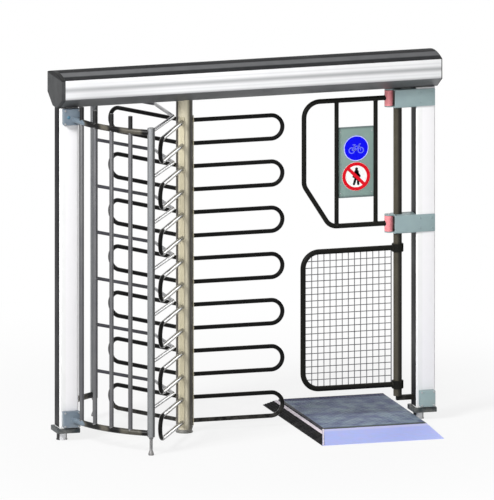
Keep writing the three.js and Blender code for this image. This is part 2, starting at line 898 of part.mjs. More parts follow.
function makeSolenoid() {
  const y = pawlY + plungerOffset;
  const z = (discBottom + discTop) / 2;
  const tip = -pawlX - pawlHalfWidth - plungerTipGap;
  const face = tip - solenoidGap;
  const alongX = (geometry) => geometry.rotateZ(-Math.PI / 2).translate(0, y, z);
  const profile = [
    [0, tip - plungerLength],
    [plungerRadius, tip - plungerLength],
    [plungerRadius, tip - plungerTipLength],
    [plungerTipRadius, tip],
    [0, tip],
  ];
  const points = profile.map(([r, x]) => new THREE.Vector2(r, x));
  piece("solenoid_plunger", solid(alongX(new THREE.LatheGeometry(points, pinSides))), zincSteel);
  const body = box(
    [face - solenoidLength, face],
    around(y, solenoidWidth / 2),
    [drivePlateTop, discTop + solenoidTopRise],
  );
  const boreLength = solenoidLength + overrun * 2;
  const bore = new THREE.CylinderGeometry(plungerRadius + gap, plungerRadius + gap, boreLength, pinSides);
  const boreX = face - solenoidLength / 2;
  piece("solenoid_body", cut(body, [solid(alongX(bore.translate(0, boreX, 0)))]), darkGrey);
}

function makeControlBox() {
  const outline = roundedRectangle(
    around(controlX, controlLength / 2),
    around(0, controlWidth / 2),
    controlCorner,
  );
  const floor = headerUnderside + headerWall;
  piece("control_box", prismZ(outline, [floor, floor + controlHeight]), blockPaint);
}

// Gate

// The jamb tube with the square arm that carries its foot to the post, as one weldment.
function makeJamb() {
  const tubeBody = ring(jambRadius, jambRadius - jambWall, [jambFootTop - weldSink, bracketTop], [jambX, 0]);
  const arm = box(
    [jambX - jambFootInset, rightPostX - postFace],
    around(0, jambFootWidth / 2),
    [jambFootTop - jambFootHeight, jambFootTop],
  );
  piece("gate_jamb", join([tubeBody, arm]), blackPaint);
}

// A bracket has a face plate on the post, a back plate, a web behind the face plate and two lugs
// round the knuckle and the jamb.
function makeBracket(name, top) {
  const postSide = rightPostX - postFace;
  const lugBottom = top - knuckleDrop - knuckleHeight - gap - bracketLug;
  const faceOutline = roundedRectangle(
    [hingeX + bracketPlateStart, rightPostX + postFace - bracketPostInset],
    [top - bracketHeight, top],
    bracketCorner,
  );
  const parts = [prismY(faceOutline, [-postFace - bracketPlate, -postFace])];
  const backY = [bracketBackY, bracketBackY + bracketBackPlate];
  parts.push(box([hingeX + bracketBackStart, postSide], backY, [lugBottom, top]));
  const web = [hingeX + bracketWebStart, hingeX + bracketWebStart + bracketWeb];
  parts.push(box(web, [-postFace, -jambRadius], [lugBottom, top]));
  for (const z of [lugBottom, top - bracketLug]) {
    const lug = [z, z + bracketLug];
    parts.push(rod(knuckleRadius, [hingeX, 0], lug, turnedSides));
    parts.push(box([hingeX, postSide], around(0, knuckleRadius), lug));
    parts.push(box([hingeX + bracketPlateStart, postSide], [-postFace, backY[1]], lug));
  }
  const cutSpan = [lugBottom - overrun, top + overrun];
  const tools = [
    rod(hingePinRadius + gap, [hingeX, 0], cutSpan, pinSides),
    rod(jambRadius + gap, [jambX, 0], cutSpan, turnedSides),
  ];
  piece(name, cut(join(parts), tools), blockPaint);
}

function makeHingePin(name, top) {
  const bottom = top - knuckleDrop - knuckleHeight - gap - bracketLug - hingePinTail;
  const profile = [
    [0, bottom],
    [hingePinRadius, bottom],
    [hingePinRadius, top],
    [hingePinHeadRadius, top],
    [hingePinHeadRadius, top + hingePinHead],
    [0, top + hingePinHead],
  ];
  piece(name, turned(profile, [hingeX, 0], pinSides), zincSteel);
}

function makeKnuckle(name, top) {
  const span = [top - knuckleDrop - knuckleHeight, top - knuckleDrop];
  const bore = boreRadius(hingePinRadius, turnedSides);
  piece(name, ring(knuckleRadius, bore, span, [hingeX, 0]), redPaint);
}

function inGatePlane(x, z) {
  return new THREE.Vector3(x, 0, z);
}

function makeUpperLeaf() {
  const chamferTop = upperBottomBar + upperChamferHeight;
  const points = [
    inGatePlane(hingeX, upperTopBar),
    inGatePlane(upperTipX, upperTopBar),
    inGatePlane(upperTipX, chamferTop),
    inGatePlane(upperTipX + upperChamferWidth, upperBottomBar),
    inGatePlane(hingeX, upperBottomBar),
  ];
  const radii = [leafCornerRadius, chamferCornerRadius, chamferCornerRadius];
  const frame = tube(bentRoute(points, radii, bendSteps), upperTubeRadius);
  const bars = [upperInnerBarOne, upperInnerBarTwo].map((x) =>
    rod(upperBarRadius, [upperTipX + x, 0], [upperBottomBar, upperTopBar], tubeSides),
  );
  const seat = rod(
    knuckleRadius + gap,
    [hingeX, 0],
    [upperBottomBar - upperTubeRadius - overrun, upperTopBar + upperTubeRadius + overrun],
    turnedSides,
  );
  piece("upper_leaf_frame", cut(join([frame, ...bars]), [seat]), blackPaint);
}

// The sign panel between the inner bars, with its two round signs on the front.
function makeSigns() {
  const side = upperBarRadius + gap;
  const x = [upperTipX + upperInnerBarOne + side, upperTipX + upperInnerBarTwo - side];
  const bottom = upperBottomBar + signRise;
  const panel = box(x, around(0, signThickness / 2), [bottom, bottom + signHeight]);
  piece("sign_panel", panel, signGrey);
  const middle = (x[0] + x[1]) / 2;
  const walkZ = bottom + walkSignRise;
  const cycleZ = walkZ + walkSignRadius + signDiscGap + cycleSignRadius;
  makeSignDisc("cycle_sign", [middle, cycleZ], cycleSignRadius, signBlue);
  makeSignDisc("no_walking_sign", [middle, walkZ], walkSignRadius, signRed);
}

function makeSignDisc(name, [x, z], radius, material) {
  const face = -signThickness / 2;
  const geometry = new THREE.CylinderGeometry(radius, radius, signDiscThickness, turnedSides);
  piece(name, solid(geometry.translate(x, face - signDiscThickness / 2, z)), material);
}

function makeLowerLeaf() {
  const points = [
    inGatePlane(jambX, lowerTopBar),
    inGatePlane(lowerTipX, lowerTopBar),
    inGatePlane(lowerTipX, lowerBottomBar),
    inGatePlane(jambX, lowerBottomBar),
  ];
  const frame = tube(bentRoute(points, [leafCornerRadius, leafCornerRadius], bendSteps), lowerTubeRadius);
  const collars = [lowerBottomBar, lowerTopBar].map((z) =>
    rod(collarRadius, [jambX, 0], around(z, collarHeight / 2), turnedSides),
  );
  const bore = rod(
    boreRadius(jambRadius, turnedSides),
    [jambX, 0],
    [lowerBottomBar - collarHeight, lowerTopBar + collarHeight],
    turnedSides,
  );
  piece("lower_leaf_frame", cut(join([frame, ...collars]), [bore]), blackPaint);
}

// The outline of the wire panel, drawn in from the frame's centreline.
function meshOutline(inset) {
  const [left, right] = [lowerTipX + inset, jambX - collarRadius - meshJambGap - inset + meshSeat()];
  const [bottom, top] = [lowerBottomBar + inset, lowerTopBar - inset];
  const r = leafCornerRadius - inset;
  const shape = new THREE.Shape();
  shape.moveTo(right, bottom);
  shape.lineTo(right, top);
  shape.absarc(left + r, top - r, r, Math.PI / 2, Math.PI);
  shape.absarc(left + r, bottom + r, r, Math.PI, Math.PI * 1.5);
  return shape;
}

function meshSeat() {
  return lowerTubeRadius + gap;
}

// A net of square wires with a border, in the lower leaf.
function makeMesh() {
  const inset = meshSeat();
  const y = around(0, meshWire / 2);
  const arcSteps = bendSteps / 2; // three.js draws twice as many on an arc, as many as the frame has
  const panel = prismY(meshOutline(inset), y, arcSteps);
  const opening = prismY(meshOutline(inset + meshBorder), [y[0] - overrun, y[1] + overrun], arcSteps);
  const [left, right] = [lowerTipX + inset + meshBorder, jambX - collarRadius - meshJambGap - meshBorder];
  const [bottom, top] = [lowerBottomBar + inset + meshBorder, lowerTopBar - inset - meshBorder];
  const pitchX = (right - left + meshWire) / meshColumns;
  const pitchZ = (top - bottom + meshWire) / meshRows;
  const cells = [];
  for (let i = 0; i < meshColumns; i++)
    for (let j = 0; j < meshRows; j++) {
      const x = left + i * pitchX;
      const z = bottom + j * pitchZ;
      cells.push(box([x, x + pitchX - meshWire], [y[0] - overrun, y[1] + overrun], [z, z + pitchZ - meshWire]));
    }
  const holes = wasm.Manifold.union(cells).intersect(opening);
  piece("lower_leaf_mesh", panel.subtract(holes), zincSteel);
}

// Platform

// A plate over a plan of four corners, level along its first side and falling to the lip
// along the opposite one.
function wedge(corners, heights, base) {
  const lower = corners.map(([x, y]) => [x, y, base]);
  const upper = corners.map(([x, y], i) => [x, y, heights[i]]);
  const geometry = new THREE.BufferGeometry();
  geometry.setAttribute("position", new THREE.Float32BufferAttribute([...lower, ...upper].flat(), 3));
  const faces = [];
  for (let i = 0; i < 4; i++) {
    const next = (i + 1) % 4;
    faces.push(i, next, 4 + next, i, 4 + next, 4 + i);
  }
  geometry.setIndex([...faces, 0, 2, 1, 0, 3, 2, 4, 5, 6, 4, 6, 7]);
  return solid(geometry);
}

function makeDeck(left, right) {
  const shell = box([left, right], [-deckFront, deckRear], [0, deckHeight]);
  const bays = deckRibCount + 1;
  const bayLength = (deckFront + deckRear - deckSkirt * (bays + 1)) / bays;
  const pockets = [];
  for (let i = 0; i < bays; i++) {
    const y = -deckFront + deckSkirt + i * (bayLength + deckSkirt);
    const x = [left + deckSkirt, right - deckSkirt];
    pockets.push(box(x, [y, y + bayLength], [-overrun, deckHeight - deckSheet]));
  }
  piece("platform_deck", cut(shell, pockets), deckBlue);
}

function makeFrontRamp(left, right) {
  const front = -deckFront - rampLength;
  const outer = [
    [left, -deckFront],
    [left - sideRampWidth, front],
    [right + rampFlare, front],
    [right, -deckFront],
  ];
  const inner = [
    [left, -deckFront - deckSkirt],
    [left - sideRampWidth + rampSkirt, front],
    [right + rampFlare - deckSkirt, front],
    [right - deckSkirt, -deckFront - deckSkirt],
  ];
  const heights = [deckHeight, rampLip, rampLip, deckHeight];
  const hollow = wedge(inner, heights.map((h) => h - deckSheet), -overrun);
  piece("platform_front_ramp", cut(wedge(outer, heights, 0), [hollow]), rampBlue);
}

function makeSideRamp(left) {
  const front = -deckFront - rampLength;
  const corners = [
    [left, deckRear],
    [left - sideRampWidth, deckRear],
    [left - sideRampWidth, front + rampSeam],
    [left, -deckFront + rampSeam],
  ];
  const heights = [deckHeight, rampLip, rampLip, deckHeight];
  piece("platform_side_ramp", wedge(corners, heights, 0), blackPaint);
}

function makePlatform() {
  const left = lowerTipX + deckInset;
  const right = rightPostX - footLegOffset - footLegRadius - gap;
  makeDeck(left, right);
  makeFrontRamp(left, right);
  makeSideRamp(left);
}

// Assembly

makePost("post_left", leftPostX);
makePost("post_right", rightPostX);
makeFoot("foot_left", leftPostX);
makeFoot("foot_right", rightPostX);
makeHeader();
makeCage();
makePostBlock();
for (let j = 0; j < hoopCount; j++) makeCombBar(j);
makeFloorBearing();
makeColumn();
makeShaft();
for (let i = 0; i < wingCount; i++) makeWing(i);
makeDrivePlate();
makeHeadBearing();
makeLockingDisc();
makePulleys();
makeBelt();
makePawl();
makeSolenoid();
makeControlBox();
makeJamb();
for (const [word, top] of [
  ["top", bracketTop],
  ["middle", bracketTop - hingeDrop],
]) {
  makeBracket(`gate_bracket_${word}`, top);
  makeHingePin(`hinge_pin_${word}`, top);
  makeKnuckle(`hinge_knuckle_${word}`, top);
}
makeUpperLeaf();
makeSigns();
makeLowerLeaf();
makeMesh();
makePlatform();

export default turnstile;
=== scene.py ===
"""Full height turnstile and spring gate for bicycles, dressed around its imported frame.

Metres. +Z is up, +X runs along the header from the rotor to the gate, +Y points to the rear.
"""
import math
from collections import namedtuple

import bmesh
import bpy
import numpy as np
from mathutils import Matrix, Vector


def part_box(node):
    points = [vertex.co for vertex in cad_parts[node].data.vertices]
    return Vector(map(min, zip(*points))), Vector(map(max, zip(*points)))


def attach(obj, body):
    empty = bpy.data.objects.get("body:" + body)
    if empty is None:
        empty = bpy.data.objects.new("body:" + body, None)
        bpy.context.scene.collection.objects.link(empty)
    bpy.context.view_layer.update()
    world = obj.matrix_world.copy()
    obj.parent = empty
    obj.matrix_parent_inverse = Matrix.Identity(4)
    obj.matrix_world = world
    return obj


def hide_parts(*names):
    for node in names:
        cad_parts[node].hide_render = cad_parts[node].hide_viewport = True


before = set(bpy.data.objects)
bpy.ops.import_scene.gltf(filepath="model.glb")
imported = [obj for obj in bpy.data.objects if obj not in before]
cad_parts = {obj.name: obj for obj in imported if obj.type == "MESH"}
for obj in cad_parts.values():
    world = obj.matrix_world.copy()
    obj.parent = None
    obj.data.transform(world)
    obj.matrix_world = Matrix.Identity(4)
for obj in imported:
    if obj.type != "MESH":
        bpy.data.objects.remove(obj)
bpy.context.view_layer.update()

# Picture
VIEW_AZIMUTH = math.radians(-16.36)
VIEW_ELEVATION = math.radians(11.6)
VIEW_CENTRE = (0.3986, 0.0, 1.110)
VIEW_WIDTH = 3.05
VIEW_DISTANCE = 12.0
LAMP_DISTANCE = 30.0
CLIP_END = 100.0
FLOOR_HALF = 60.0
FLOOR_TONE = (0.86, 0.86, 0.86, 1)
FADE_REACH = (1.2, 4.0)
FADE_LEAST = 0.82
WHITE = (1, 1, 1, 1)
WORLD_LIGHT = 0.2

# Facets
TUBE_SIDES = 28
TURNED_SIDES = 48
BEND_STEPS = 12
ARC_STEPS = 48
CORNER_STEPS = 6
RIM_STEPS = 3
CAPSULE_STEPS = 8
WELD_SIDES = 32
BEAD_SIDES = 8
COMB_SIDES = 24
PIN_SIDES = 32
END_POST_SIDES = 36
JAMB_SIDES = 40
COLUMN_SIDES = 64
SIGN_SIDES = 64
WIRE_SIDES = 10
NIPPLE_SIDES = 16
BORDER_SIDES = 12
HEAD_SIDES = 24
HEX_SIDES = 6
WASHER_SIDES = 24
BUTTON_SIDES = 20
BUTTON_STEPS = 5
DOME_STEPS = 6
THREAD_SIDES = 24
THREAD_STEPS = 6
NOSE_STEPS = 17
SHARP_ANGLE = math.radians(38)
DOUBLES = 1e-6

# Small sizes that many pieces share
EASE = 0.001
SEAT = 0.002
PLAY = 0.0003
FINE_RIM = 0.0006

# Bolt and screw heads, as shares of their radius or height
HEAD_DRAFT = 0.99
HEAD_CHAMFER = 0.12
WASHER_REACH = 1.25
WASHER_HEIGHT = 0.25
WASHER_EDGE = 0.8
WASHER_CHAMFER = 0.3
BUTTON_SPAN = 0.96 * np.pi / 2

# Header
HALF_DEPTH = 0.156
FLAT_HALF = 0.045
BEND_SOFTNESS = 0.004
SHEET = 0.003
COVER_BEND = 0.006
COVER_LIP = 0.014
CAP_WALL = 0.004
CAP_EDGE = 0.004
CAP_BORDER = 0.012
CAP_DOME = 0.0006
COLUMN_HOLE = 0.0538
HOLE_PATCH = 0.062
SHEET_RIM = 0.0004
TRAY_RIM = 0.0003
UNDERSIDE_STEPS = 79
PATCH_STEPS = 12
CAP_UNDERSIDE_STEPS = 41
LID_STEPS = 33
CAP_CROWN_STEPS = 21

# Posts and feet
POST_CORNER = 0.010
STRIP_WIDTH = 0.098
STRIP_THICKNESS = 0.001
STRIP_CORNER = 0.004
STRIP_RIM = 0.0004
STRIP_FOOT_GAP = 0.006
STRIP_HEAD_GAP = 0.002
POST_RIM = 0.0008
FOOT_PLATE = 0.028
FOOT_CORNER = 0.012
FOOT_RIM = 0.0015
FOOT_LEG_RADIUS = 0.034
FOOT_LEG_OFFSET = 0.030
LEG_FLANGE = 0.006
LEG_NECK = (0.92, 0.009, 0.044)  # share of the radius, lower end, upper end
LEG_HEAD_SHARE = 0.97

# Cage
CAGE_RADIUS = 0.732
CAGE_END = math.radians(57.6)
CAGE_BAR_PITCH = math.radians(10.65)
CAGE_BARS = 4
BAR_RADIUS = 0.0135
BAR_RISE = 0.095
RAIL_RADIUS = 0.018
END_POST_RADIUS = 0.023
END_POST_RISE = 0.033
BAR_DOME = 0.004
END_POST_DOME = 0.006
DOME_SPAN = 0.97 * np.pi / 2
BLOCK_BOLT_HEIGHT = 0.005
BLOCK_BOLT_RADIUS = 0.0048
BLOCK_BOLT_INSET = 0.009
BLOCK_CORNER = 0.006
BLOCK_RIM = 0.0025
PLUG_INSET = 0.030
PLUG_RADIUS = 0.011
PLUG_HEIGHT = 0.003
PAD_WIDTH = 0.044
PAD_HEIGHT = 0.040
PAD_THICKNESS = 0.008
PAD_CORNER = 0.008
BOTTOM_RAIL_Z = 0.1355
BELL_RIM = 0.008
BELL_SHOULDER = (0.86, 0.016)  # share of the radius, height
BELL_NECK = (0.011, 0.028)  # radius, height
SCREW_RADIUS = 0.010
SCREW_START = 0.024
THREAD_DEPTH = 0.0011
THREAD_PITCH = 0.0025
NUT_RADIUS = 0.014
NUT_HEIGHT = 0.012
NUT_CHAMFER = 0.0012
WELD = 0.0022
WELD_RIPPLE = 0.12
WELD_RIPPLES = 9

# Rotor
HOOPS = 7
HOOP_HEIGHT = 0.145
HOOP_RADIUS = 0.0135
CARRIER_WIDTH = 0.028
CARRIER_THICKNESS = 0.005
CARRIER_OVERHANG = 0.030
HOOP_BEND_STEPS = 16
COLUMN_RADIUS = 0.0508
COLUMN_ROUND = 0.0015
PIVOT_RADIUS = 0.014
FOOT_RING = (0.030, 0.038)
FOOT_RING_THICKNESS = 0.0018
FOOT_RING_SKIN = 0.0001
BEARING_FLANGE = 0.008
BEARING_NECK = 0.048
BEARING_FILLET = 0.0015
BEARING_BORE = 0.0143
BEARING_FLOOR = 0.005
COMB_RADIUS = 0.011
COMB_CORNER = 0.239
COMB_BEND = 0.070

# Gate
JAMB_RADIUS = 0.026
JAMB_ARM_SIZE = 0.030
JAMB_ARM_INSET = 0.008
JAMB_ARM_CORNER = 0.003
KNUCKLE_RADIUS = 0.027
KNUCKLE_BORE = 0.0086
KNUCKLE_ROUND = 0.002
GROOVE_INSET = 0.018
GROOVE_DEPTH = 0.0012
GROOVE_HALVES = (0.0015, 0.0008)
NIPPLE_PROFILE = [(0.005, 0), (0.005, 0.002), (0.003, 0.0035)]
PIN_RADIUS = 0.008
PIN_HEAD_RADIUS = 0.012
PIN_HEAD_CHAMFER = (0.0015, 0.001)
BRACKET_HEIGHT = 0.108
BRACKET_PLATE = 0.008
BRACKET_BACK = 0.006
BRACKET_SHOULDER = 0.020
BRACKET_BACK_START = 0.025
BRACKET_WEB = (0.029, 0.035)
PLATE_ROUNDS = (0.006, 0.0015)  # corner, rim
BACK_ROUNDS = (0.002, 0.0008)
LUG_THICKNESS = 0.006
BRACKET_BOLT_INSET = 0.022
BRACKET_BOLT_RADIUS = 0.007
BRACKET_BOLT_HEIGHT = 0.003
UPPER_TUBE = 0.015
UPPER_BARS = (0.207, 0.455)
UPPER_CHAMFER = (0.165, 0.262)
LEAF_CORNER = 0.100
CHAMFER_CORNER = 0.080
LOWER_TUBE = 0.0165
COLLAR_RADIUS = 0.036
COLLAR_HEIGHT = 0.050
COLLAR_ROUND = 0.002
NET_COLUMNS = 14
NET_ROWS = 20
NET_WIRE = 0.0028
NET_OFFSET = 0.0012
NET_BORDER_SHARE = 1.3

# Signs
SIGN_CORNER = 0.004
RIVET_INSETS = (0.010, 0.030)
RIVET_RADIUS = 0.004
RIVET_HEIGHT = 0.0015
SIGN_ROUND = 0.0005
CYCLE_FACE_DEPTH = 0.0004
WALK_FACE_DEPTH = 0.0008
MARK_LIFT = 0.0003
MARK_SINK = 0.0001

# Platform
DECK_CORNER = 0.003
DECK_RIM = 0.0015
TREAD_LENGTH = 0.0125
TREAD_WIDTH = 0.0032
TREAD_LEVELS = ((1, -0.0005), (0.72, 0.0011))  # share of the lens, height
TREAD_SIDES = 12
TREAD_PITCH = 0.0245
TREAD_MARGIN = 0.03
EDGE_BAR_WIDTH = 0.006
EDGE_BAR_SINK = 0.002
EDGE_BAR_RISE = 0.001
RAMP_LIP = 0.002
RAMP_ROUND = 0.0012
RAMP_RINGS = 13
RAMP_BEAD = 0.005
BEAD_END_GAP = 0.004
BEAD_LIP_INSET = 0.008
RIB_PITCH = 0.016
RIB_HEIGHT = 0.0022
RIB_STEPS = 45
RIB_END = 0.034  # from the deck, like the trim's places
TRIM_PLACES = (0.032, 0.008)
TRIM_SINK = 0.004
TRIM_RISE = 0.0008
RAMP_FRONT_GAP = 0.0006

UP = np.array([0.0, 0.0, 1.0])
ALONG = np.array([1.0, 0.0, 0.0])
ACROSS = np.array([0.0, 1.0, 0.0])
FRONT = (0, -1, 0)
ORIGIN = (0, 0, 0)


# Shells

Shell = namedtuple("Shell", "points corners sizes")
Path = namedtuple("Path", "points tangents")


def loft(grid, closed=False):
    """A skin over rings of points, shape (rings, sides, 3). Every ring closes on itself.
    Closed joins the last ring to the first; otherwise a flat face closes each end."""
    rings, sides = grid.shape[:2]
    index = np.arange(rings * sides).reshape(rings, sides)
    lower = index if closed else index[:-1]
    upper = np.roll(index, -1, 0) if closed else index[1:]
    around = (lower, np.roll(lower, -1, 1), np.roll(upper, -1, 1), upper)
    quads = np.stack(around, -1).reshape(-1, 4)
    corners = [quads.ravel()]
    sizes = [np.full(len(quads), 4)]
    if not closed:
        corners += [index[0][::-1], index[-1]]
        sizes.append(np.array([sides, sides]))
    return Shell(grid.reshape(-1, 3), np.concatenate(corners), np.concatenate(sizes))


def side_vectors(axis):
    """Two unit vectors square to an axis and to each other."""
    axis = np.asarray(axis, float)
    helper = ALONG if abs(axis[0]) < 0.9 else ACROSS
    first = np.cross(axis, helper)
    first /= np.linalg.norm(first)
    return first, np.cross(axis, first)


def turned(profile, origin, axis=UP, sides=TURNED_SIDES, closed=False):
    """A turned shape: point = origin + height x axis + radius x (cos a, sin a) round the axis.
    The profile holds (radius, height) pairs."""
    radius, height = np.array(profile, float).T
    first, second = side_vectors(axis)
    angle = np.linspace(0, 2 * np.pi, sides, endpoint=False)
    spoke = np.cos(angle)[:, None] * first + np.sin(angle)[:, None] * second
    rings = height[:, None, None] * np.asarray(axis, float) + radius[:, None, None] * spoke
    return loft(np.asarray(origin, float) + rings, closed)


def tube(path, radius, normal, sides=TUBE_SIDES):
    """A round tube along a path in one plane: ring = point + radius (cos a x normal + sin a x
    (tangent x normal))."""
    normal = np.asarray(normal, float)
    side = np.cross(path.tangents, normal)
    angle = np.linspace(0, 2 * np.pi, sides, endpoint=False)[None, :, None]
    rings = np.cos(angle) * normal + np.sin(angle) * side[:, None, :]
    return loft(path.points[:, None, :] + radius * rings)


def bent_path(corners, radii, steps=BEND_STEPS):
    """Straight runs between corners, with each inner corner turned by an arc of its radius."""
    corners = [np.array(c, float) for c in corners]
    heading = [b - a for a, b in zip(corners, corners[1:])]
    heading = [h / np.linalg.norm(h) for h in heading]
    points = [corners[0][None]]
    tangents = [heading[0][None]]
    for corner, before, after, radius in zip(corners[1:], heading, heading[1:], radii):
        turn = math.acos(float(np.clip(before @ after, -1, 1)))
        inward = after - before * (before @ after)
        inward /= np.linalg.norm(inward)
        a = np.linspace(0, turn, steps + 1)[:, None]
        start = corner - before * radius * math.tan(turn / 2)
        points.append(start + radius * (np.sin(a) * before + (1 - np.cos(a)) * inward))
        tangents.append(np.cos(a) * before + np.sin(a) * inward)
    points.append(corners[-1][None])
    tangents.append(heading[-1][None])
    return Path(np.concatenate(points), np.concatenate(tangents))


def level_arc(radius, z, start, end):
    """A level arc about the rotor's axis, from one angle to another."""
    a = np.linspace(start, end, ARC_STEPS + 1)
    turn = np.sign(end - start)
    points = np.stack([radius * np.cos(a), radius * np.sin(a), np.full_like(a, z)], -1)
    return Path(points, turn * np.stack([-np.sin(a), np.cos(a), np.zeros_like(a)], -1))


def outward(outline):
    """Unit normals of a closed plane outline that runs counter-clockwise."""
    along = np.roll(outline, -1, 0) - np.roll(outline, 1, 0)
    normal = np.stack([along[:, 1], -along[:, 0]], -1)
    return normal / np.maximum(np.linalg.norm(normal, axis=1, keepdims=True), 1e-9)


AXIS_ORDER = {"x": (2, 0, 1), "y": (0, 2, 1), "z": (0, 1, 2)}


def prism(outline, low, high, edge, axis="z"):
    """A closed outline carried along an axis. Its rims are quarter rounds of radius edge: the
    outline is drawn in by edge x (1 - sin t) where the height is edge x (1 - cos t)."""
    outline = np.asarray(outline, float)
    t = np.linspace(0, np.pi / 2, RIM_STEPS + 1)
    inset = edge * (1 - np.sin(t))
    rise = edge * (1 - np.cos(t))
    inset = np.concatenate([inset, inset[::-1]])
    height = np.concatenate([low + rise, high - rise[::-1]])
    plane = outline - outward(outline) * inset[:, None, None]
    level = np.broadcast_to(height[:, None, None], plane.shape[:2] + (1,))
    return loft(np.concatenate([plane, level], -1)[..., AXIS_ORDER[axis]])


def rounded(low, high, corner):
    """A rectangle's outline with round corners, counter-clockwise, from two opposite corners."""
    (x0, y0), (x1, y1) = low, high
    quarter = np.linspace(0, np.pi / 2, CORNER_STEPS + 1)
    centres = [(x1 - corner, y1 - corner), (x0 + corner, y1 - corner)]
    centres += [(x0 + corner, y0 + corner), (x1 - corner, y0 + corner)]
    arcs = []
    for turn, centre in enumerate(centres):
        a = quarter + turn * np.pi / 2
        arcs.append(np.array(centre) + corner * np.stack([np.cos(a), np.sin(a)], -1))
    return np.concatenate(arcs)


def rounded_box(low, high, corner, edge, axis="z"):
    """A block with round corners about one axis and a rounded rim at each end of it."""
    first, second, third = {"x": (1, 2, 0), "y": (0, 2, 1), "z": (0, 1, 2)}[axis]
    outline = rounded((low[first], low[second]), (high[first], high[second]), corner)
    return prism(outline, low[third], high[third], edge, axis)


def thicken(line, thickness):
    """An open line of plane points and its copy, moved to the line's left, as a closed outline."""
    line = np.asarray(line, float)
    along = np.gradient(line, axis=0)
    left = np.stack([-along[:, 1], along[:, 0]], -1)
    left /= np.linalg.norm(left, axis=1, keepdims=True)
    return np.concatenate([line, (line + left * thickness)[::-1]])


def circle_outline(centre, radius, sides):
    """A circle's outline, counter-clockwise."""
    a = np.linspace(0, 2 * np.pi, sides, endpoint=False)
    return np.array(centre) + radius * np.stack([np.cos(a), np.sin(a)], -1)


def capsule(start, end, width):
    """A flat stroke with round ends from start to end, as an outline."""
    start, end = np.array(start, float), np.array(end, float)
    lean = math.atan2(end[1] - start[1], end[0] - start[0])
    half = np.linspace(-np.pi / 2, np.pi / 2, CAPSULE_STEPS + 1) + lean
    tip = np.stack([np.cos(half), np.sin(half)], -1) * width / 2
    return np.concatenate([end + tip, start - tip])


def weld_ring(centre, branch, run, branch_radius, run_radius):
    """The bead where a round bar runs into a larger one: the bar's circle, lifted along the
    bar's axis by sqrt(R^2 - (r sin a)^2), with a small circle carried round it."""
    branch, run = np.asarray(branch, float), np.asarray(run, float)
    side = np.cross(branch, run)
    a = np.linspace(0, 2 * np.pi, WELD_SIDES, endpoint=False)[:, None]
    spoke = np.cos(a) * run + np.sin(a) * side
    lift = np.sqrt(np.maximum(run_radius**2 - (branch_radius * np.sin(a)) ** 2, 0))
    line = np.asarray(centre, float) + branch_radius * spoke + lift * branch
    t = np.linspace(0, 2 * np.pi, BEAD_SIDES, endpoint=False)[None, :, None]
    ripple = WELD * (1 + WELD_RIPPLE * np.sin(WELD_RIPPLES * a))[:, None, :]
    return loft(
        line[:, None, :] + ripple * (np.cos(t) * spoke[:, None, :] + np.sin(t) * branch), True
    )


def weld_on_flat(centre, normal, radius):
    """A bead round a bar that stands on a flat face."""
    t = np.linspace(0, 2 * np.pi, BEAD_SIDES, endpoint=False)
    profile = np.stack([radius + WELD * np.cos(t), WELD * np.sin(t)], -1)
    return turned(profile, centre, normal, WELD_SIDES, closed=True)


def hex_head(place, axis, radius, height):
    """A six-sided bolt head with a chamfered top on a round washer."""
    chamfer = radius * HEAD_CHAMFER
    profile = [(radius * HEAD_DRAFT, 0), (radius, height - chamfer), (radius - chamfer, height)]
    washer, ring = height * WASHER_HEIGHT, radius * WASHER_REACH
    edge = [(ring, 0), (ring, washer * WASHER_EDGE), (ring - washer * WASHER_CHAMFER, washer)]
    return [turned(profile, place, axis, HEX_SIDES), turned(edge, place, axis, WASHER_SIDES)]


def button_head(place, axis, radius, height):
    """A low domed screw head: radius x cos t, height x sin t."""
    t = np.linspace(0, BUTTON_SPAN, BUTTON_STEPS)
    profile = np.stack([radius * np.cos(t), height * np.sin(t)], -1)
    return turned(profile, place, axis, BUTTON_SIDES)


def moved_copies(shell, angles, centres):
    """Copies of a small shell, each turned about Z by its angle and moved to its centre."""
    c, s = np.cos(angles), np.sin(angles)
    zero, one = np.zeros_like(c), np.ones_like(c)
    turn = np.stack([c, -s, zero, s, c, zero, zero, zero, one], -1).reshape(-1, 3, 3)
    points = np.einsum("nij,mj->nmi", turn, shell.points) + centres[:, None, :]
    step = np.arange(len(angles))[:, None] * len(shell.points)
    corners = (shell.corners[None] + step).ravel()
    return Shell(points.reshape(-1, 3), corners, np.tile(shell.sizes, len(angles)))


def piece(name, shells, finish, slot, body, *nodes):
    """One object from closed shells: doubles merged, faces turned outwards, soft edges smooth."""
    starts = np.cumsum([0] + [len(s.points) for s in shells])
    points = np.concatenate([s.points for s in shells])
    corners = np.concatenate([s.corners + start for s, start in zip(shells, starts)])
    sizes = np.concatenate([s.sizes for s in shells])
    mesh = bpy.data.meshes.new(name)
    mesh.vertices.add(len(points))
    mesh.vertices.foreach_set("co", points.ravel())
    mesh.loops.add(len(corners))
    mesh.loops.foreach_set("vertex_index", corners.astype(np.int32))
    mesh.polygons.add(len(sizes))
    mesh.polygons.foreach_set("loop_start", (np.cumsum(sizes) - sizes).astype(np.int32))
    mesh.update(calc_edges=True)
    mesh.validate()
    work = bmesh.new()
    work.from_mesh(mesh)
    bmesh.ops.remove_doubles(work, verts=work.verts, dist=DOUBLES)
    bmesh.ops.recalc_face_normals(work, faces=work.faces)
    work.to_mesh(mesh)
    work.free()
    mesh.shade_smooth()
    mesh.set_sharp_from_angle(angle=SHARP_ANGLE)
    obj = bpy.data.objects.new(name, mesh)
    bpy.context.scene.collection.objects.link(obj)
    mesh.materials.append(finish)
    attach(obj, body)
    if nodes:
        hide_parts(*nodes)
    return obj


# Shader groups


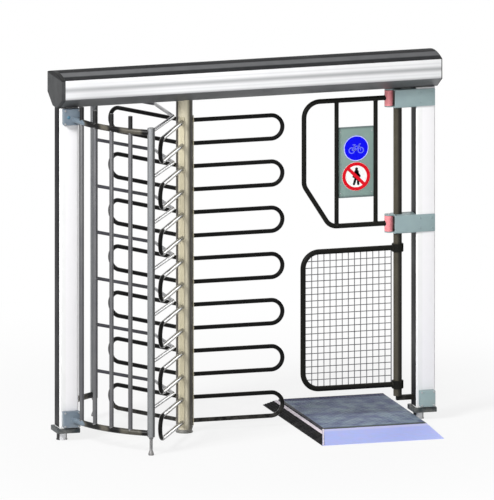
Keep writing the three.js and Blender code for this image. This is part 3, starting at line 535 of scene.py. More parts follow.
def srgb(red, green, blue):
    """A screen colour, 0 to 255, as the linear values that a shader takes."""
    share = np.array([red, green, blue]) / 255
    linear = np.where(share <= 0.04045, share / 12.92, ((share + 0.055) / 1.055) ** 2.4)
    return (*linear.tolist(), 1.0)


class Graph:
    """Adds nodes to a node tree and links them as it goes."""

    def __init__(self, tree):
        self.tree = tree

    def add(self, kind, inputs=(), **settings):
        node = self.tree.nodes.new(kind)
        for key, value in settings.items():
            setattr(node, key, value)
        for socket, value in dict(inputs).items():
            self.feed(node, socket, value)
        return node

    def feed(self, node, socket, value):
        if isinstance(value, bpy.types.NodeSocket):
            self.tree.links.new(value, node.inputs[socket])
        else:
            node.inputs[socket].default_value = value

    def math(self, operation, *values):
        return self.add("ShaderNodeMath", dict(enumerate(values)), operation=operation).outputs[0]

    def blend(self, share, first, second):
        node = self.add("ShaderNodeMix", {0: share, 6: first, 7: second}, data_type="RGBA")
        return node.outputs[2]

    def ramp(self, value, low, high, out_low=0.0, out_high=1.0):
        inputs = {0: value, 1: low, 2: high, 3: out_low, 4: out_high}
        return self.add("ShaderNodeMapRange", inputs, interpolation_type="SMOOTHSTEP").outputs[0]

    def noise(self, place, scale, detail=3.0):
        inputs = {"Vector": place, "Scale": scale, "Detail": detail}
        return self.add("ShaderNodeTexNoise", inputs).outputs["Fac"]


def new_group(name, inputs, outputs):
    """An empty shader group with named sockets."""
    tree = bpy.data.node_groups.new(name, "ShaderNodeTree")
    for label, default in inputs.items():
        socket = tree.interface.new_socket(label, in_out="INPUT", socket_type="NodeSocketFloat")
        socket.default_value = default
    for label in outputs:
        tree.interface.new_socket(label, in_out="OUTPUT", socket_type="NodeSocketFloat")
    graph = Graph(tree)
    source = graph.add("NodeGroupInput")
    sink = graph.add("NodeGroupOutput")
    return graph, source.outputs, sink


def edge_wear_group():
    """Mask of rubbed edges: where the rounded normal leaves the face's own, broken up by noise."""
    graph, given, sink = new_group("edge_wear", {"Radius": 0.002, "Amount": 0.5}, ["Mask"])
    smooth = graph.add("ShaderNodeBevel", {"Radius": given["Radius"]}, samples=4).outputs[0]
    flat = graph.add("ShaderNodeNewGeometry").outputs["Normal"]
    dot = graph.add("ShaderNodeVectorMath", {0: smooth, 1: flat}, operation="DOT_PRODUCT")
    bend = graph.math("SUBTRACT", 1.0, dot.outputs["Value"])
    place = graph.add("ShaderNodeTexCoord").outputs["Object"]
    broken = graph.ramp(graph.noise(place, 60.0, 4.0), 0.42, 0.62)
    rubbed = graph.ramp(bend, 0.02, 0.16)
    shown = graph.math("MULTIPLY", graph.math("MULTIPLY", rubbed, broken), given["Amount"])
    graph.feed(sink, "Mask", shown)
    return graph.tree


def grain_group():
    """Fine grain of a coat: small bumps, a cloudy tone and a slow drift over the whole object."""
    inputs = {"Fine Scale": 600.0, "Cloud Scale": 9.0}
    graph, given, sink = new_group("coat_grain", inputs, ["Height", "Cloud", "Drift"])
    place = graph.add("ShaderNodeTexCoord").outputs["Object"]
    graph.feed(sink, "Height", graph.noise(place, given["Fine Scale"], 2.0))
    graph.feed(sink, "Cloud", graph.ramp(graph.noise(place, given["Cloud Scale"], 4.0), 0.3, 0.7))
    graph.feed(sink, "Drift", graph.ramp(graph.noise(place, 2.2, 2.0), 0.35, 0.65))
    return graph.tree


def dust_group():
    """Mask of settled dust: most near the floor and on faces that look up."""
    graph, given, sink = new_group("settled_dust", {"Reach": 0.25, "Amount": 0.3}, ["Mask"])
    place = graph.add("ShaderNodeTexCoord").outputs["Object"]
    height = graph.add("ShaderNodeSeparateXYZ", {0: place}).outputs["Z"]
    normal = graph.add("ShaderNodeNewGeometry").outputs["Normal"]
    facing = graph.add("ShaderNodeSeparateXYZ", {0: normal}).outputs["Z"]
    low = graph.ramp(height, given["Reach"], 0.0)
    top = graph.math("MULTIPLY", graph.ramp(facing, 0.5, 1.0), 0.35)
    either = graph.math("MAXIMUM", low, top)
    patchy = graph.ramp(graph.noise(place, 26.0, 5.0), 0.3, 0.75)
    shown = graph.math("MULTIPLY", graph.math("MULTIPLY", either, patchy), given["Amount"])
    graph.feed(sink, "Mask", shown)
    return graph.tree


def brushed_group():
    """Long brush lines: noise drawn out along one axis by the place's unequal scale."""
    inputs = {"X Scale": 1.0, "Y Scale": 1.0, "Z Scale": 1.0}
    graph, given, sink = new_group("brush_lines", inputs, ["Line", "Broad"])
    place = graph.add("ShaderNodeTexCoord").outputs["Object"]
    scale = {"X": given["X Scale"], "Y": given["Y Scale"], "Z": given["Z Scale"]}
    stretch = graph.add("ShaderNodeCombineXYZ", scale).outputs[0]
    drawn = graph.add("ShaderNodeVectorMath", {0: place, 1: stretch}, operation="MULTIPLY")
    graph.feed(sink, "Line", graph.noise(drawn.outputs["Vector"], 220.0, 3.0))
    graph.feed(sink, "Broad", graph.ramp(graph.noise(drawn.outputs["Vector"], 22.0, 3.0), 0.3, 0.7))
    return graph.tree


def band_group():
    """Mask of a soft band: 1 where a coordinate is within half a width of its centre."""
    inputs = {"Place": 0.0, "Centre": 0.0, "Half Width": 0.01, "Softness": 0.004}
    graph, given, sink = new_group("soft_band", inputs, ["Mask"])
    away = graph.math("ABSOLUTE", graph.math("SUBTRACT", given["Place"], given["Centre"]))
    far = graph.math("ADD", given["Half Width"], given["Softness"])
    near = graph.math("SUBTRACT", given["Half Width"], given["Softness"])
    graph.feed(sink, "Mask", graph.ramp(away, far, near))
    return graph.tree


EDGE_WEAR = edge_wear_group()
GRAIN = grain_group()
DUST = dust_group()
BRUSHED = brushed_group()
BAND = band_group()

# A band of colour across a piece: half is half its width, amount how much of it covers.
Band = namedtuple("Band", "axis centre half softness color amount")

X, Y, Z = 0, 1, 2
DUST_TONE = srgb(188, 184, 176)
PRIMER = srgb(120, 118, 114)
BARE_STEEL = srgb(200, 200, 198)
BRIGHT_EDGE = srgb(226, 226, 224)
RUBBED_PLASTIC = srgb(150, 150, 150)


# Materials


def new_material(name):
    """A material's graph and its Principled shader."""
    material = bpy.data.materials.new(name)
    material.use_nodes = True
    shader = material.node_tree.nodes["Principled BSDF"]
    return material, Graph(material.node_tree), shader


def use_group(graph, tree, **values):
    """Places a group. Underscores in the names stand for spaces in its sockets."""
    node = graph.add("ShaderNodeGroup", node_tree=tree)
    for key, value in values.items():
        graph.feed(node, key.replace("_", " "), value)
    return node.outputs


def banded(graph, color, bands):
    """Lays soft bands of other colours over a colour, by place; many of the bands laid here are
    painted shade, highlight or reflection.
    """
    place = graph.add("ShaderNodeTexCoord").outputs["Object"]
    split = graph.add("ShaderNodeSeparateXYZ", {0: place}).outputs
    for band in bands:
        mask = use_group(
            graph,
            BAND,
            Place=split[band.axis],
            Centre=band.centre,
            Half_Width=band.half,
            Softness=band.softness,
        )
        share = graph.math("MULTIPLY", mask["Mask"], band.amount)
        color = graph.blend(share, color, band.color)
    return color


def add_gloss(graph, shader, amount):
    """A clear coat that shows most where the surface is seen at a low angle."""
    if not amount:
        return
    facing = graph.add("ShaderNodeLayerWeight", {"Blend": 0.5}).outputs["Facing"]
    graph.feed(shader, "Coat Weight", graph.ramp(facing, 0.61, 0.69, 0.0, amount))
    shader.inputs["Coat Roughness"].default_value = 0.15
    shader.inputs["Coat IOR"].default_value = 3.6


def coated(
    name,
    color,
    shade,
    worn=PRIMER,
    roughness=0.42,
    wear=0.3,
    dust=0.2,
    specular=0.5,
    bands=(),
    gloss=0.0,
    mottle=0.6,
):
    """Paint or powder coat: a cloudy tone between two shades, rubbed edges, dust and fine peel."""
    material, graph, shader = new_material(name)
    grain = use_group(graph, GRAIN, Fine_Scale=620.0, Cloud_Scale=11.0)
    tone = graph.blend(graph.math("MULTIPLY", grain["Cloud"], mottle), color, shade)
    tone = banded(graph, tone, bands)
    rubbed = use_group(graph, EDGE_WEAR, Radius=0.0022, Amount=wear)["Mask"]
    settled = use_group(graph, DUST, Reach=0.22, Amount=dust)["Mask"]
    tone = graph.blend(rubbed, tone, worn)
    tone = graph.blend(settled, tone, DUST_TONE)
    graph.feed(shader, "Base Color", tone)
    rough = graph.math("ADD", roughness - 0.06, graph.math("MULTIPLY", grain["Drift"], 0.12))
    rough = graph.math("ADD", rough, graph.math("MULTIPLY", settled, 0.3))
    graph.feed(shader, "Roughness", rough)
    shader.inputs["Specular IOR Level"].default_value = specular
    add_gloss(graph, shader, gloss)
    inputs = {"Height": grain["Height"], "Strength": 0.12, "Distance": 0.0004}
    graph.feed(shader, "Normal", graph.add("ShaderNodeBump", inputs).outputs[0])
    return material


def brushed(
    name,
    color,
    shade,
    along,
    roughness=0.35,
    metallic=0.3,
    dust=0.25,
    bands=(),
    gloss=0.0,
    specular=0.5,
):
    """Brushed or ground steel: two tones in long lines, with lines in its roughness and relief."""
    material, graph, shader = new_material(name)
    scale = [1.0, 1.0, 1.0]
    scale[along] = 0.02
    lines = use_group(graph, BRUSHED, X_Scale=scale[0], Y_Scale=scale[1], Z_Scale=scale[2])
    grain = use_group(graph, GRAIN, Fine_Scale=500.0, Cloud_Scale=6.0)
    share = graph.math("MULTIPLY", graph.math("ADD", lines["Broad"], grain["Cloud"]), 0.5)
    tone = banded(graph, graph.blend(share, color, shade), bands)
    settled = use_group(graph, DUST, Reach=0.18, Amount=dust)["Mask"]
    rubbed = use_group(graph, EDGE_WEAR, Radius=0.0015, Amount=0.4)["Mask"]
    tone = graph.blend(rubbed, tone, BRIGHT_EDGE)
    graph.feed(shader, "Base Color", graph.blend(settled, tone, DUST_TONE))
    rough = graph.math("ADD", roughness - 0.08, graph.math("MULTIPLY", lines["Line"], 0.16))
    rough = graph.math("ADD", rough, graph.math("MULTIPLY", settled, 0.3))
    graph.feed(shader, "Roughness", rough)
    metal = graph.math("MULTIPLY", graph.math("SUBTRACT", 1.0, settled), metallic)
    graph.feed(shader, "Metallic", metal)
    shader.inputs["Specular IOR Level"].default_value = specular
    add_gloss(graph, shader, gloss)
    inputs = {"Height": lines["Line"], "Strength": 0.15, "Distance": 0.0003}
    graph.feed(shader, "Normal", graph.add("ShaderNodeBump", inputs).outputs[0])
    return material


def moulded(name, color, shade, roughness=0.75, dust=0.05, bands=(), specular=0.15):
    """Moulded plastic or rubber: spark-eroded grain, faint clouds, dull rubbed edges."""
    material, graph, shader = new_material(name)
    grain = use_group(graph, GRAIN, Fine_Scale=900.0, Cloud_Scale=16.0)
    tone = banded(graph, graph.blend(grain["Cloud"], color, shade), bands)
    rubbed = use_group(graph, EDGE_WEAR, Radius=0.003, Amount=0.35)["Mask"]
    settled = use_group(graph, DUST, Reach=0.2, Amount=dust)["Mask"]
    tone = graph.blend(rubbed, tone, RUBBED_PLASTIC)
    graph.feed(shader, "Base Color", graph.blend(settled, tone, DUST_TONE))
    rough = graph.math("ADD", roughness - 0.1, graph.math("MULTIPLY", grain["Height"], 0.2))
    graph.feed(shader, "Roughness", rough)
    shader.inputs["Specular IOR Level"].default_value = specular
    inputs = {"Height": grain["Height"], "Strength": 0.35, "Distance": 0.0005}
    graph.feed(shader, "Normal", graph.add("ShaderNodeBump", inputs).outputs[0])
    return material


left_low, left_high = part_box("post_left")
right_low, right_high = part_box("post_right")
cover_low, cover_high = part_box("header_front_cover")
cover_middle = (cover_low.z + cover_high.z) / 2
ramp_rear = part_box("platform_front_ramp")[1].y

POST_MIDDLES = [
    (low.x + high.x) / 2 for low, high in ((left_low, left_high), (right_low, right_high))
]
# Painted light: a slightly paler band down the right part of each post, against the shade that
# falls there.
POST_PAINTED_LIGHT_BANDS = [
    Band(X, middle + 0.021, 0.043, 0.005, srgb(241, 240, 242), 0.9) for middle in POST_MIDDLES
]
# Painted shade along the lid's front edge.
LID_FRONT_SHADE = srgb(38, 39, 41)

post_coat = coated(
    "post_coat", srgb(236, 236, 236), srgb(232, 232, 232), wear=0.2, specular=0.4, bands=POST_PAINTED_LIGHT_BANDS
)
# Near black. On the posts' side faces it is painted shade: dark strips where those faces lie in
# shade. The deck's edge bars are near black with it too.
shade_strip_and_edge_coat = coated(
    "painted_shade_strip_and_edge_bar_coat",
    srgb(9, 9, 14),
    srgb(14, 14, 20),
    roughness=0.5,
    wear=0.2,
    dust=0.1,
    specular=0.1,
)
foot_coat = coated(
    "foot_coat", srgb(36, 44, 50), srgb(48, 58, 60), roughness=0.5, wear=0.5, dust=0.3, specular=0.3
)
# Painted shade: dark bands down both sides of each foot's leg, where a round leg turns away from
# the light.
LEG_SHADE_BANDS = [
    Band(X, middle - FOOT_LEG_OFFSET + side * 0.031, 0.011, 0.004, srgb(10, 11, 14), 1.0)
    for middle in POST_MIDDLES
    for side in (-1, 1)
]
leg_steel = brushed(
    "leg_steel", srgb(226, 226, 228), srgb(212, 213, 216), Z, dust=0.1, bands=LEG_SHADE_BANDS
)
# Painted shade: the end caps are near black across their crowned top.
CAP_CROWN_SHADE_BANDS = [Band(Z, cover_high.z + 0.013, 0.018, 0.004, srgb(20, 21, 22), 0.95)]
cap_plastic = moulded(
    "cap_plastic", srgb(60, 61, 62), srgb(68, 69, 70), roughness=0.65, bands=CAP_CROWN_SHADE_BANDS
)
tray_coat = coated(
    "tray_coat", srgb(96, 98, 99), srgb(82, 84, 86), roughness=0.45, dust=0.1, specular=0.35
)
# Painted shade: a dark line along the lid's front edge and a dark band over its rear part, leaving
# a lighter streak between them.
LID_SHADE_BANDS = [
    Band(Y, -0.142, 0.032, 0.010, LID_FRONT_SHADE, 0.95),
    Band(Y, 0.062, 0.100, 0.014, srgb(26, 27, 29), 0.95),
]
lid_coat = coated(
    "lid_coat",
    srgb(112, 113, 115),
    srgb(100, 101, 103),
    roughness=0.6,
    wear=0.15,
    dust=0.05,
    specular=0.02,
    bands=LID_SHADE_BANDS,
)
# Painted light on the front cover: a greyer left end and a grey band along its foot are painted
# shade; a grey streak along its middle and two fainter grey lines beside it are painted
# reflections.
COVER_SHADE_AND_REFLECTION_BANDS = [
    Band(X, cover_low.x, 0.40, 0.30, srgb(212, 212, 214), 0.6),
    Band(Z, cover_middle, 0.012, 0.014, srgb(170, 171, 173), 0.95),
    Band(Z, cover_middle + 0.034, 0.004, 0.006, srgb(220, 221, 223), 0.7),
    Band(Z, cover_middle - 0.032, 0.005, 0.006, srgb(222, 223, 225), 0.6),
    Band(Z, cover_low.z, 0.012, 0.010, srgb(178, 179, 181), 0.85),
]
cover_steel = brushed(
    "cover_steel",
    srgb(246, 246, 247),
    srgb(238, 239, 240),
    X,
    roughness=0.38,
    dust=0.1,
    bands=COVER_SHADE_AND_REFLECTION_BANDS,
)
rail_low, rail_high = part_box("cage_front_panel")
# Black patches at three places along the rails are painted reflections; the band appended after
# them gives the rail ends by the blocks the blocks' paint.
RAIL_REFLECTION_AND_END_BANDS = [
    Band(X, rail_low.x + share * (rail_high.x - rail_low.x), 0.028, 0.010, srgb(5, 5, 5), 1.0)
    for share in (0.19, 0.43, 0.86)
]
RAIL_REFLECTION_AND_END_BANDS.append(Band(X, left_high.x - 0.119, 0.1, 0.004, srgb(108, 121, 132), 1.0))
rail_steel = brushed(
    "rail_steel",
    srgb(94, 90, 80),
    srgb(62, 60, 54),
    Y,
    roughness=0.4,
    metallic=0.1,
    dust=0.1,
    bands=RAIL_REFLECTION_AND_END_BANDS,
    specular=0.2,
)
end_foot_low, end_foot_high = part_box("cage_foot_front")
end_post_x = (end_foot_low.x + end_foot_high.x) / 2
# Painted shade: the bars are near black over their tops above the top rail.
BAR_STUB_SHADE_BANDS = [Band(Z, rail_high.z - BAR_RISE / 2, 0.050, 0.006, srgb(5, 5, 6), 1.0)]
cage_steel = brushed(
    "cage_steel",
    srgb(106, 106, 106),
    srgb(86, 86, 90),
    Z,
    roughness=0.36,
    metallic=0.5,
    bands=BAR_STUB_SHADE_BANDS,
)
# Painted shade: a dark band down the +X side of both end posts.
END_POST_SHADE_BANDS = [Band(X, end_post_x + 0.021, 0.015, 0.004, srgb(48, 50, 50), 0.9)]
end_post_steel = brushed(
    "end_post_steel",
    srgb(126, 128, 129),
    srgb(112, 114, 117),
    Z,
    roughness=0.36,
    bands=END_POST_SHADE_BANDS,
)
# Painted shade: a dark olive band down the column's +X side and a dark line down its -X edge.
COLUMN_SHADE_BANDS = [
    Band(X, 0.042, 0.030, 0.014, srgb(36, 34, 26), 0.95),
    Band(X, -COLUMN_RADIUS, 0.0055, 0.002, srgb(44, 36, 30), 0.95),
]
comb_steel = brushed(
    "comb_steel",
    srgb(74, 74, 82),
    srgb(54, 54, 58),
    Y,
    roughness=0.36,
    metallic=0.4,
    dust=0.2,
    gloss=1.0,
)
block_coat = coated("block_coat", srgb(108, 121, 132), srgb(98, 110, 124), wear=0.45, specular=0.4)
# Bluer paint for the top blocks' round plugs; the blue is a painted glint.
plug_glint_coat = coated(
    "plug_glint_coat", srgb(74, 118, 140), srgb(64, 104, 128), worn=BARE_STEEL, roughness=0.4, wear=0.4
)
bracket_coat = coated("bracket_coat", srgb(140, 160, 162), srgb(130, 150, 153), wear=0.5, dust=0.3)
hoop_coat = coated(
    "hoop_coat", srgb(12, 12, 12), srgb(20, 20, 19), wear=0.4, dust=0.15, specular=0.08, gloss=1.0
)
leaf_coat = coated(
    "leaf_coat",
    srgb(16, 16, 14),
    srgb(25, 25, 20),
    roughness=0.44,
    wear=0.4,
    dust=0.15,
    specular=0.1,
)
# Painted light on the jamb tube: its beige grey stands for a highlight on its black paint, and a
# dark band paints shade down its right side.
JAMB_SHADE_BANDS = [Band(X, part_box("gate_jamb")[0].x + 0.038, 0.016, 0.008, srgb(30, 29, 25), 0.9)]
jamb_highlight_and_shade_coat = coated("jamb_highlight_and_shade_coat", srgb(74, 70, 59), srgb(64, 60, 51), specular=0.2, bands=JAMB_SHADE_BANDS)
column_coat = coated(
    "column_coat",
    srgb(208, 201, 178),
    srgb(198, 190, 166),
    dust=0.3,
    specular=0.4,
    bands=COLUMN_SHADE_BANDS,
)
carrier_coat = coated("carrier_coat", srgb(196, 188, 160), srgb(180, 172, 146), dust=0.3)
knuckle_enamel = coated(
    "knuckle_enamel",
    srgb(232, 142, 148),
    srgb(220, 128, 134),
    worn=srgb(120, 84, 86),
    roughness=0.3,
    wear=0.4,
)
bearing_coat = coated(
    "bearing_coat",
    srgb(112, 112, 108),
    srgb(98, 98, 96),
    worn=BARE_STEEL,
    roughness=0.45,
    wear=0.5,
    dust=0.4,
)
sheet_low, sheet_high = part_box("sign_panel")
SHEET_BANDS = [Band(Z, z, 0.012, 0.006, srgb(84, 98, 98), 0.8) for z in (sheet_low.z, sheet_high.z)]
sign_sheet = coated(
    "sign_sheet",
    srgb(128, 152, 144),
    srgb(118, 138, 136),
    worn=BARE_STEEL,
    roughness=0.5,
    specular=0.4,
    bands=SHEET_BANDS,
)
blue_face = coated(
    "blue_sign_face",
    srgb(6, 8, 236),
    srgb(2, 2, 232),
    worn=srgb(60, 64, 235),
    roughness=0.4,
    wear=0.1,
    dust=0.0,
    specular=0.1,
)
cycle_face = coated(
    "cycle_mark_face",
    srgb(112, 122, 250),
    srgb(100, 108, 246),
    worn=srgb(150, 156, 250),
    roughness=0.4,
    wear=0.1,
    dust=0.05,
    specular=0.3,
)
rim_face = coated(
    "cycle_rim_face",
    srgb(206, 210, 250),
    srgb(190, 196, 246),
    worn=srgb(230, 230, 250),
    roughness=0.4,
    wear=0.1,
    dust=0.1,
)
red_face = coated(
    "red_sign_face",
    srgb(222, 16, 34),
    srgb(208, 12, 30),
    worn=srgb(230, 150, 150),
    roughness=0.4,
    wear=0.1,
    dust=0.0,
    specular=0.1,
)
white_face = coated(
    "white_sign_face",
    srgb(248, 248, 246),
    srgb(240, 240, 238),
    worn=BARE_STEEL,
    roughness=0.4,
    wear=0.1,
    dust=0.1,
)
black_face = coated(
    "black_mark_face",
    srgb(16, 16, 18),
    srgb(22, 22, 24),
    roughness=0.45,
    wear=0.1,
    dust=0.05,
    specular=0.2,
)
deck_low, deck_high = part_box("platform_deck")
NAVY = srgb(40, 44, 84)
DECK_BANDS = [
    Band(Y, deck_high.y, 0.070, 0.010, NAVY, 0.95),
    Band(Y, deck_low.y, 0.045, 0.010, srgb(64, 74, 70), 0.9),
    Band(X, deck_low.x, 0.020, 0.003, srgb(14, 14, 24), 0.95),
]
# Pale rubbed edges of the treads: worn metal, and painted highlights on the treads.
DECK_WEAR_AND_HIGHLIGHT = srgb(150, 158, 172)
deck_plate = coated(
    "deck_plate",
    srgb(136, 152, 166),
    srgb(84, 90, 128),
    worn=DECK_WEAR_AND_HIGHLIGHT,
    roughness=0.6,
    wear=0.7,
    dust=0.1,
    specular=0.08,
    bands=DECK_BANDS,
    mottle=0.85,
)
# Painted highlight: a paler band along the ramp's top edge by the deck.
RAMP_EDGE_HIGHLIGHT_BANDS = [Band(Y, ramp_rear, 0.045, 0.02, srgb(206, 206, 250), 0.85)]
ramp_coat = coated(
    "ramp_coat",
    srgb(174, 190, 254),
    srgb(184, 186, 252),
    roughness=0.5,
    dust=0.15,
    specular=0.4,
    bands=RAMP_EDGE_HIGHLIGHT_BANDS,
)
ramp_rubber = moulded("ramp_rubber", srgb(8, 8, 10), srgb(24, 24, 28), dust=0.04, specular=0.05)
trim_steel = brushed("trim_steel", srgb(224, 212, 222), srgb(200, 190, 204), Y)
zinc_plate = brushed("zinc_plate", srgb(176, 178, 180), srgb(150, 152, 154), Z, metallic=0.75)
screw_steel = brushed(
    "screw_steel", srgb(112, 112, 114), srgb(92, 92, 95), Z, roughness=0.4, metallic=0.4
)
net_wire = brushed(
    "net_wire", srgb(112, 112, 114), srgb(98, 98, 100), X, roughness=0.45, metallic=0.2
)
motor_coat = coated(
    "motor_coat", srgb(60, 62, 66), srgb(50, 52, 56), roughness=0.5, wear=0.5, dust=0.3
)
inner_steel = brushed(
    "inner_steel", srgb(140, 141, 142), srgb(120, 121, 122), X, roughness=0.4, metallic=0.8
)
control_coat = coated(
    "control_coat", srgb(150, 160, 166), srgb(140, 150, 158), roughness=0.5, wear=0.5, dust=0.3
)
belt_rubber = moulded("belt_rubber", srgb(20, 20, 20), srgb(28, 28, 28), dust=0.3, specular=0.35)


# Posts and feet


def make_post(side, low, high):
    """A square tube with round corners, and a dark strip down each side face that paints the shade
    there.
    """
    tube_shell = rounded_box(low, high, POST_CORNER, POST_RIM)
    piece(f"post_{side}_tube", [tube_shell], post_coat, "white_paint", "frame", f"post_{side}")
    shade_strips = []
    for face, out in ((low.x, -1), (high.x, 1)):
        inner, outer = face - out * STRIP_THICKNESS, face + out * STRIP_THICKNESS
        start = (min(inner, outer), -STRIP_WIDTH / 2, low.z + STRIP_FOOT_GAP)
        end = (max(inner, outer), STRIP_WIDTH / 2, high.z - STRIP_HEAD_GAP)
        shade_strips.append(rounded_box(start, end, STRIP_CORNER, STRIP_RIM, "x"))
    piece(f"post_{side}_strips", shade_strips, shade_strip_and_edge_coat, "dark_grey_paint", "frame")


def make_foot(side, post_middle):
    """A plate on a round leg with a flange."""
    low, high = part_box(f"foot_{side}")
    plate_bottom = high.z - FOOT_PLATE
    plate = rounded_box((low.x, low.y, plate_bottom), high, FOOT_CORNER, FOOT_RIM)
    piece(f"foot_{side}_plate", [plate], foot_coat, "dark_grey_paint", "frame", f"foot_{side}")
    r = FOOT_LEG_RADIUS
    neck, neck_low, neck_high = LEG_NECK
    profile = [(r, 0), (r, LEG_FLANGE), (r * neck, neck_low), (r * neck, neck_high)]
    profile.append((r * LEG_HEAD_SHARE, plate_bottom))
    leg = turned(profile, (post_middle - FOOT_LEG_OFFSET, 0, 0))
    piece(f"foot_{side}_leg", [leg], leg_steel, "grey_steel", "frame", f"foot_{side}")


# Header


def underside(y):
    """The header's underside: z = bottom + slope x (d + sqrt(d^2 + s^2)) / 2, where d is how far
    |y| lies outside the flat and s softens the bend."""
    low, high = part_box("header_tray")
    slope = (high.z - low.z) / (HALF_DEPTH - FLAT_HALF)
    d = np.abs(y) - FLAT_HALF
    return low.z + slope * (d + np.sqrt(d**2 + BEND_SOFTNESS**2)) / 2


def section_line(start, end, steps):
    """Points on the header's underside from one Y to another."""
    y = np.linspace(start, end, steps)
    return np.stack([y, underside(y)], -1)


def crown_curve(steps):
    """The lid's top from rear to front: a parabola z = edge + crown (1 - (y / half)^2)."""
    low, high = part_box("header_lid")
    y = np.linspace(HALF_DEPTH, -HALF_DEPTH, steps)
    return np.stack([y, low.z + (high.z - low.z) * (1 - (y / HALF_DEPTH) ** 2)], -1)


def ring_patch(radius, half):
    """A square of the underside with a round hole: rings blend from the circle to the square by
    point = circle + s (square - circle), over its top and back under it."""
    a = np.linspace(0, 2 * np.pi, TURNED_SIDES, endpoint=False)
    circle = np.stack([np.cos(a), np.sin(a)], -1)
    square = circle / np.abs(circle).max(1, keepdims=True)
    s = np.array([0, 0.5, 1, 1, 0.5, 0])[:, None, None]
    lift = np.array([0, 0, 0, SHEET, SHEET, SHEET])[:, None]
    plane = circle * radius + s * (square * half - circle * radius)
    level = underside(plane[..., 1]) + lift
    return loft(np.concatenate([plane, level[..., None]], -1), True)


def make_tray():
    """The bent underside, in two runs beside the rotor's hole and a holed patch between."""
    low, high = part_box("header_tray")
    outline = thicken(section_line(-HALF_DEPTH, HALF_DEPTH, UNDERSIDE_STEPS), SHEET)
    spans = ((low.x, -HOLE_PATCH), (HOLE_PATCH, high.x))
    shells = [prism(outline, start, end, TRAY_RIM, "x") for start, end in spans]
    for start, end in ((-HALF_DEPTH, -HOLE_PATCH), (HOLE_PATCH, HALF_DEPTH)):
        beside = thicken(section_line(start, end, PATCH_STEPS), SHEET)
        shells.append(prism(beside, -HOLE_PATCH, HOLE_PATCH, 0.0, "x"))
    shells.append(ring_patch(COLUMN_HOLE, HOLE_PATCH))
    piece("header_tray_sheet", shells, tray_coat, "dark_grey_paint", "frame", "header_tray")


def make_cover(word, side):
    """A long cover with its edges bent in, in Y and Z."""
    low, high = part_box(f"header_{word}_cover")
    b = COVER_BEND
    quarter = np.linspace(0, np.pi / 2, CORNER_STEPS + 1)
    bottom = np.stack([HALF_DEPTH - b + b * np.sin(quarter), low.z + b - b * np.cos(quarter)], -1)
    top = np.stack([HALF_DEPTH - b + b * np.cos(quarter), high.z - b + b * np.sin(quarter)], -1)
    ends = [[HALF_DEPTH - b - COVER_LIP, low.z]], [[HALF_DEPTH - b - COVER_LIP, high.z]]
    line = np.concatenate([ends[0], bottom, top, ends[1]])
    outline = thicken(line, SHEET)
    if side < 0:
        outline = (outline * (-1, 1))[::-1]
    cover = prism(outline, low.x, high.x, SHEET_RIM, "x")
    piece(
        f"header_{word}_sheet",
        [cover],
        cover_steel,
        "bright_steel",
        "frame",
        f"header_{word}_cover",
    )


def make_lid():
    """The crowned lid, a thin sheet with its long edges resting on the covers."""
    low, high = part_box("header_lid")
    crown = crown_curve(LID_STEPS)
    outline = np.concatenate([crown, (crown - (0, SHEET))[::-1]])
    lid = prism(outline, low.x, high.x, SHEET_RIM, "x")
    piece("header_lid_sheet", [lid], lid_coat, "dark_grey_paint", "frame", "header_lid")


def make_cap(side):
    """An end cap over the header's whole section, with a rounded outer rim."""
    low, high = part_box(f"header_end_cap_{side}")
    underneath = section_line(-HALF_DEPTH, HALF_DEPTH, CAP_UNDERSIDE_STEPS)
    outline = np.concatenate([underneath, crown_curve(CAP_CROWN_STEPS)])
    edge = min(CAP_EDGE, (high.x - low.x) / 4)
    t = np.linspace(0, np.pi / 2, DOME_STEPS)
    inset = edge * (1 - np.sin(t))
    rise = edge * (1 - np.cos(t))
    outer, mouth, out = (low.x, high.x, 1) if side == "left" else (high.x, low.x, -1)
    inset = np.concatenate([[CAP_BORDER], inset, [0, CAP_WALL, CAP_WALL]])
    inside = [mouth, mouth, outer + out * CAP_WALL]
    x = np.concatenate([[outer + out * CAP_DOME], outer + out * rise, inside])
    plane = outline - outward(outline) * inset[:, None, None]
    level = np.broadcast_to(x[:, None, None], plane.shape[:2] + (1,))
    cap = loft(np.concatenate([level, plane], -1))
    piece(
        f"header_cap_{side}",
        [cap],
        cap_plastic,
        "end_cap_plastic",
        "frame",
        f"header_end_cap_{side}",
    )


# Cage


def on_circle(radius, angle, z):
    return np.array([radius * math.cos(angle), radius * math.sin(angle), z])


def make_block(name, coat, plugged):
    """A block on a post with a bolt in each corner of its outer face, and maybe a round plug."""
    low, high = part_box(name)
    side = 1 if low.y > 0 else -1
    face = (high.y if side > 0 else low.y) - side * BLOCK_BOLT_HEIGHT
    start = (low.x, min(face, low.y if side > 0 else high.y), low.z)
    end = (high.x, max(face, low.y if side > 0 else high.y), high.z)
    block = rounded_box(start, end, BLOCK_CORNER, BLOCK_RIM, "y")
    piece(f"{name}_body", [block], coat, "blue_grey_paint", "frame", name)
    bolts = []
    for x in (low.x + BLOCK_BOLT_INSET, high.x - BLOCK_BOLT_INSET):
        for z in (low.z + BLOCK_BOLT_INSET, high.z - BLOCK_BOLT_INSET):
            bolts += hex_head((x, face, z), (0, side, 0), BLOCK_BOLT_RADIUS, BLOCK_BOLT_HEIGHT)
    piece(f"{name}_bolts", bolts, zinc_plate, "zinc_steel", "frame")
    if plugged:
        # The plug's bluer paint is a painted glint.
        place = (low.x + PLUG_INSET, face, (low.z + high.z) / 2)
        plug = button_head(place, (0, side, 0), PLUG_RADIUS, PLUG_HEIGHT)
        piece(f"{name}_plug", [plug], plug_glint_coat, "blue_grey_paint", "frame")


def post_profile(radius, bottom, top, dome):
    """An upright bar's profile with a low domed top."""
    t = np.linspace(0, DOME_SPAN, DOME_STEPS)
    cap = np.stack([radius * np.cos(t), top - dome + dome * np.sin(t)], -1)
    return np.concatenate([[(radius - EASE, bottom), (radius, bottom + EASE)], cap])


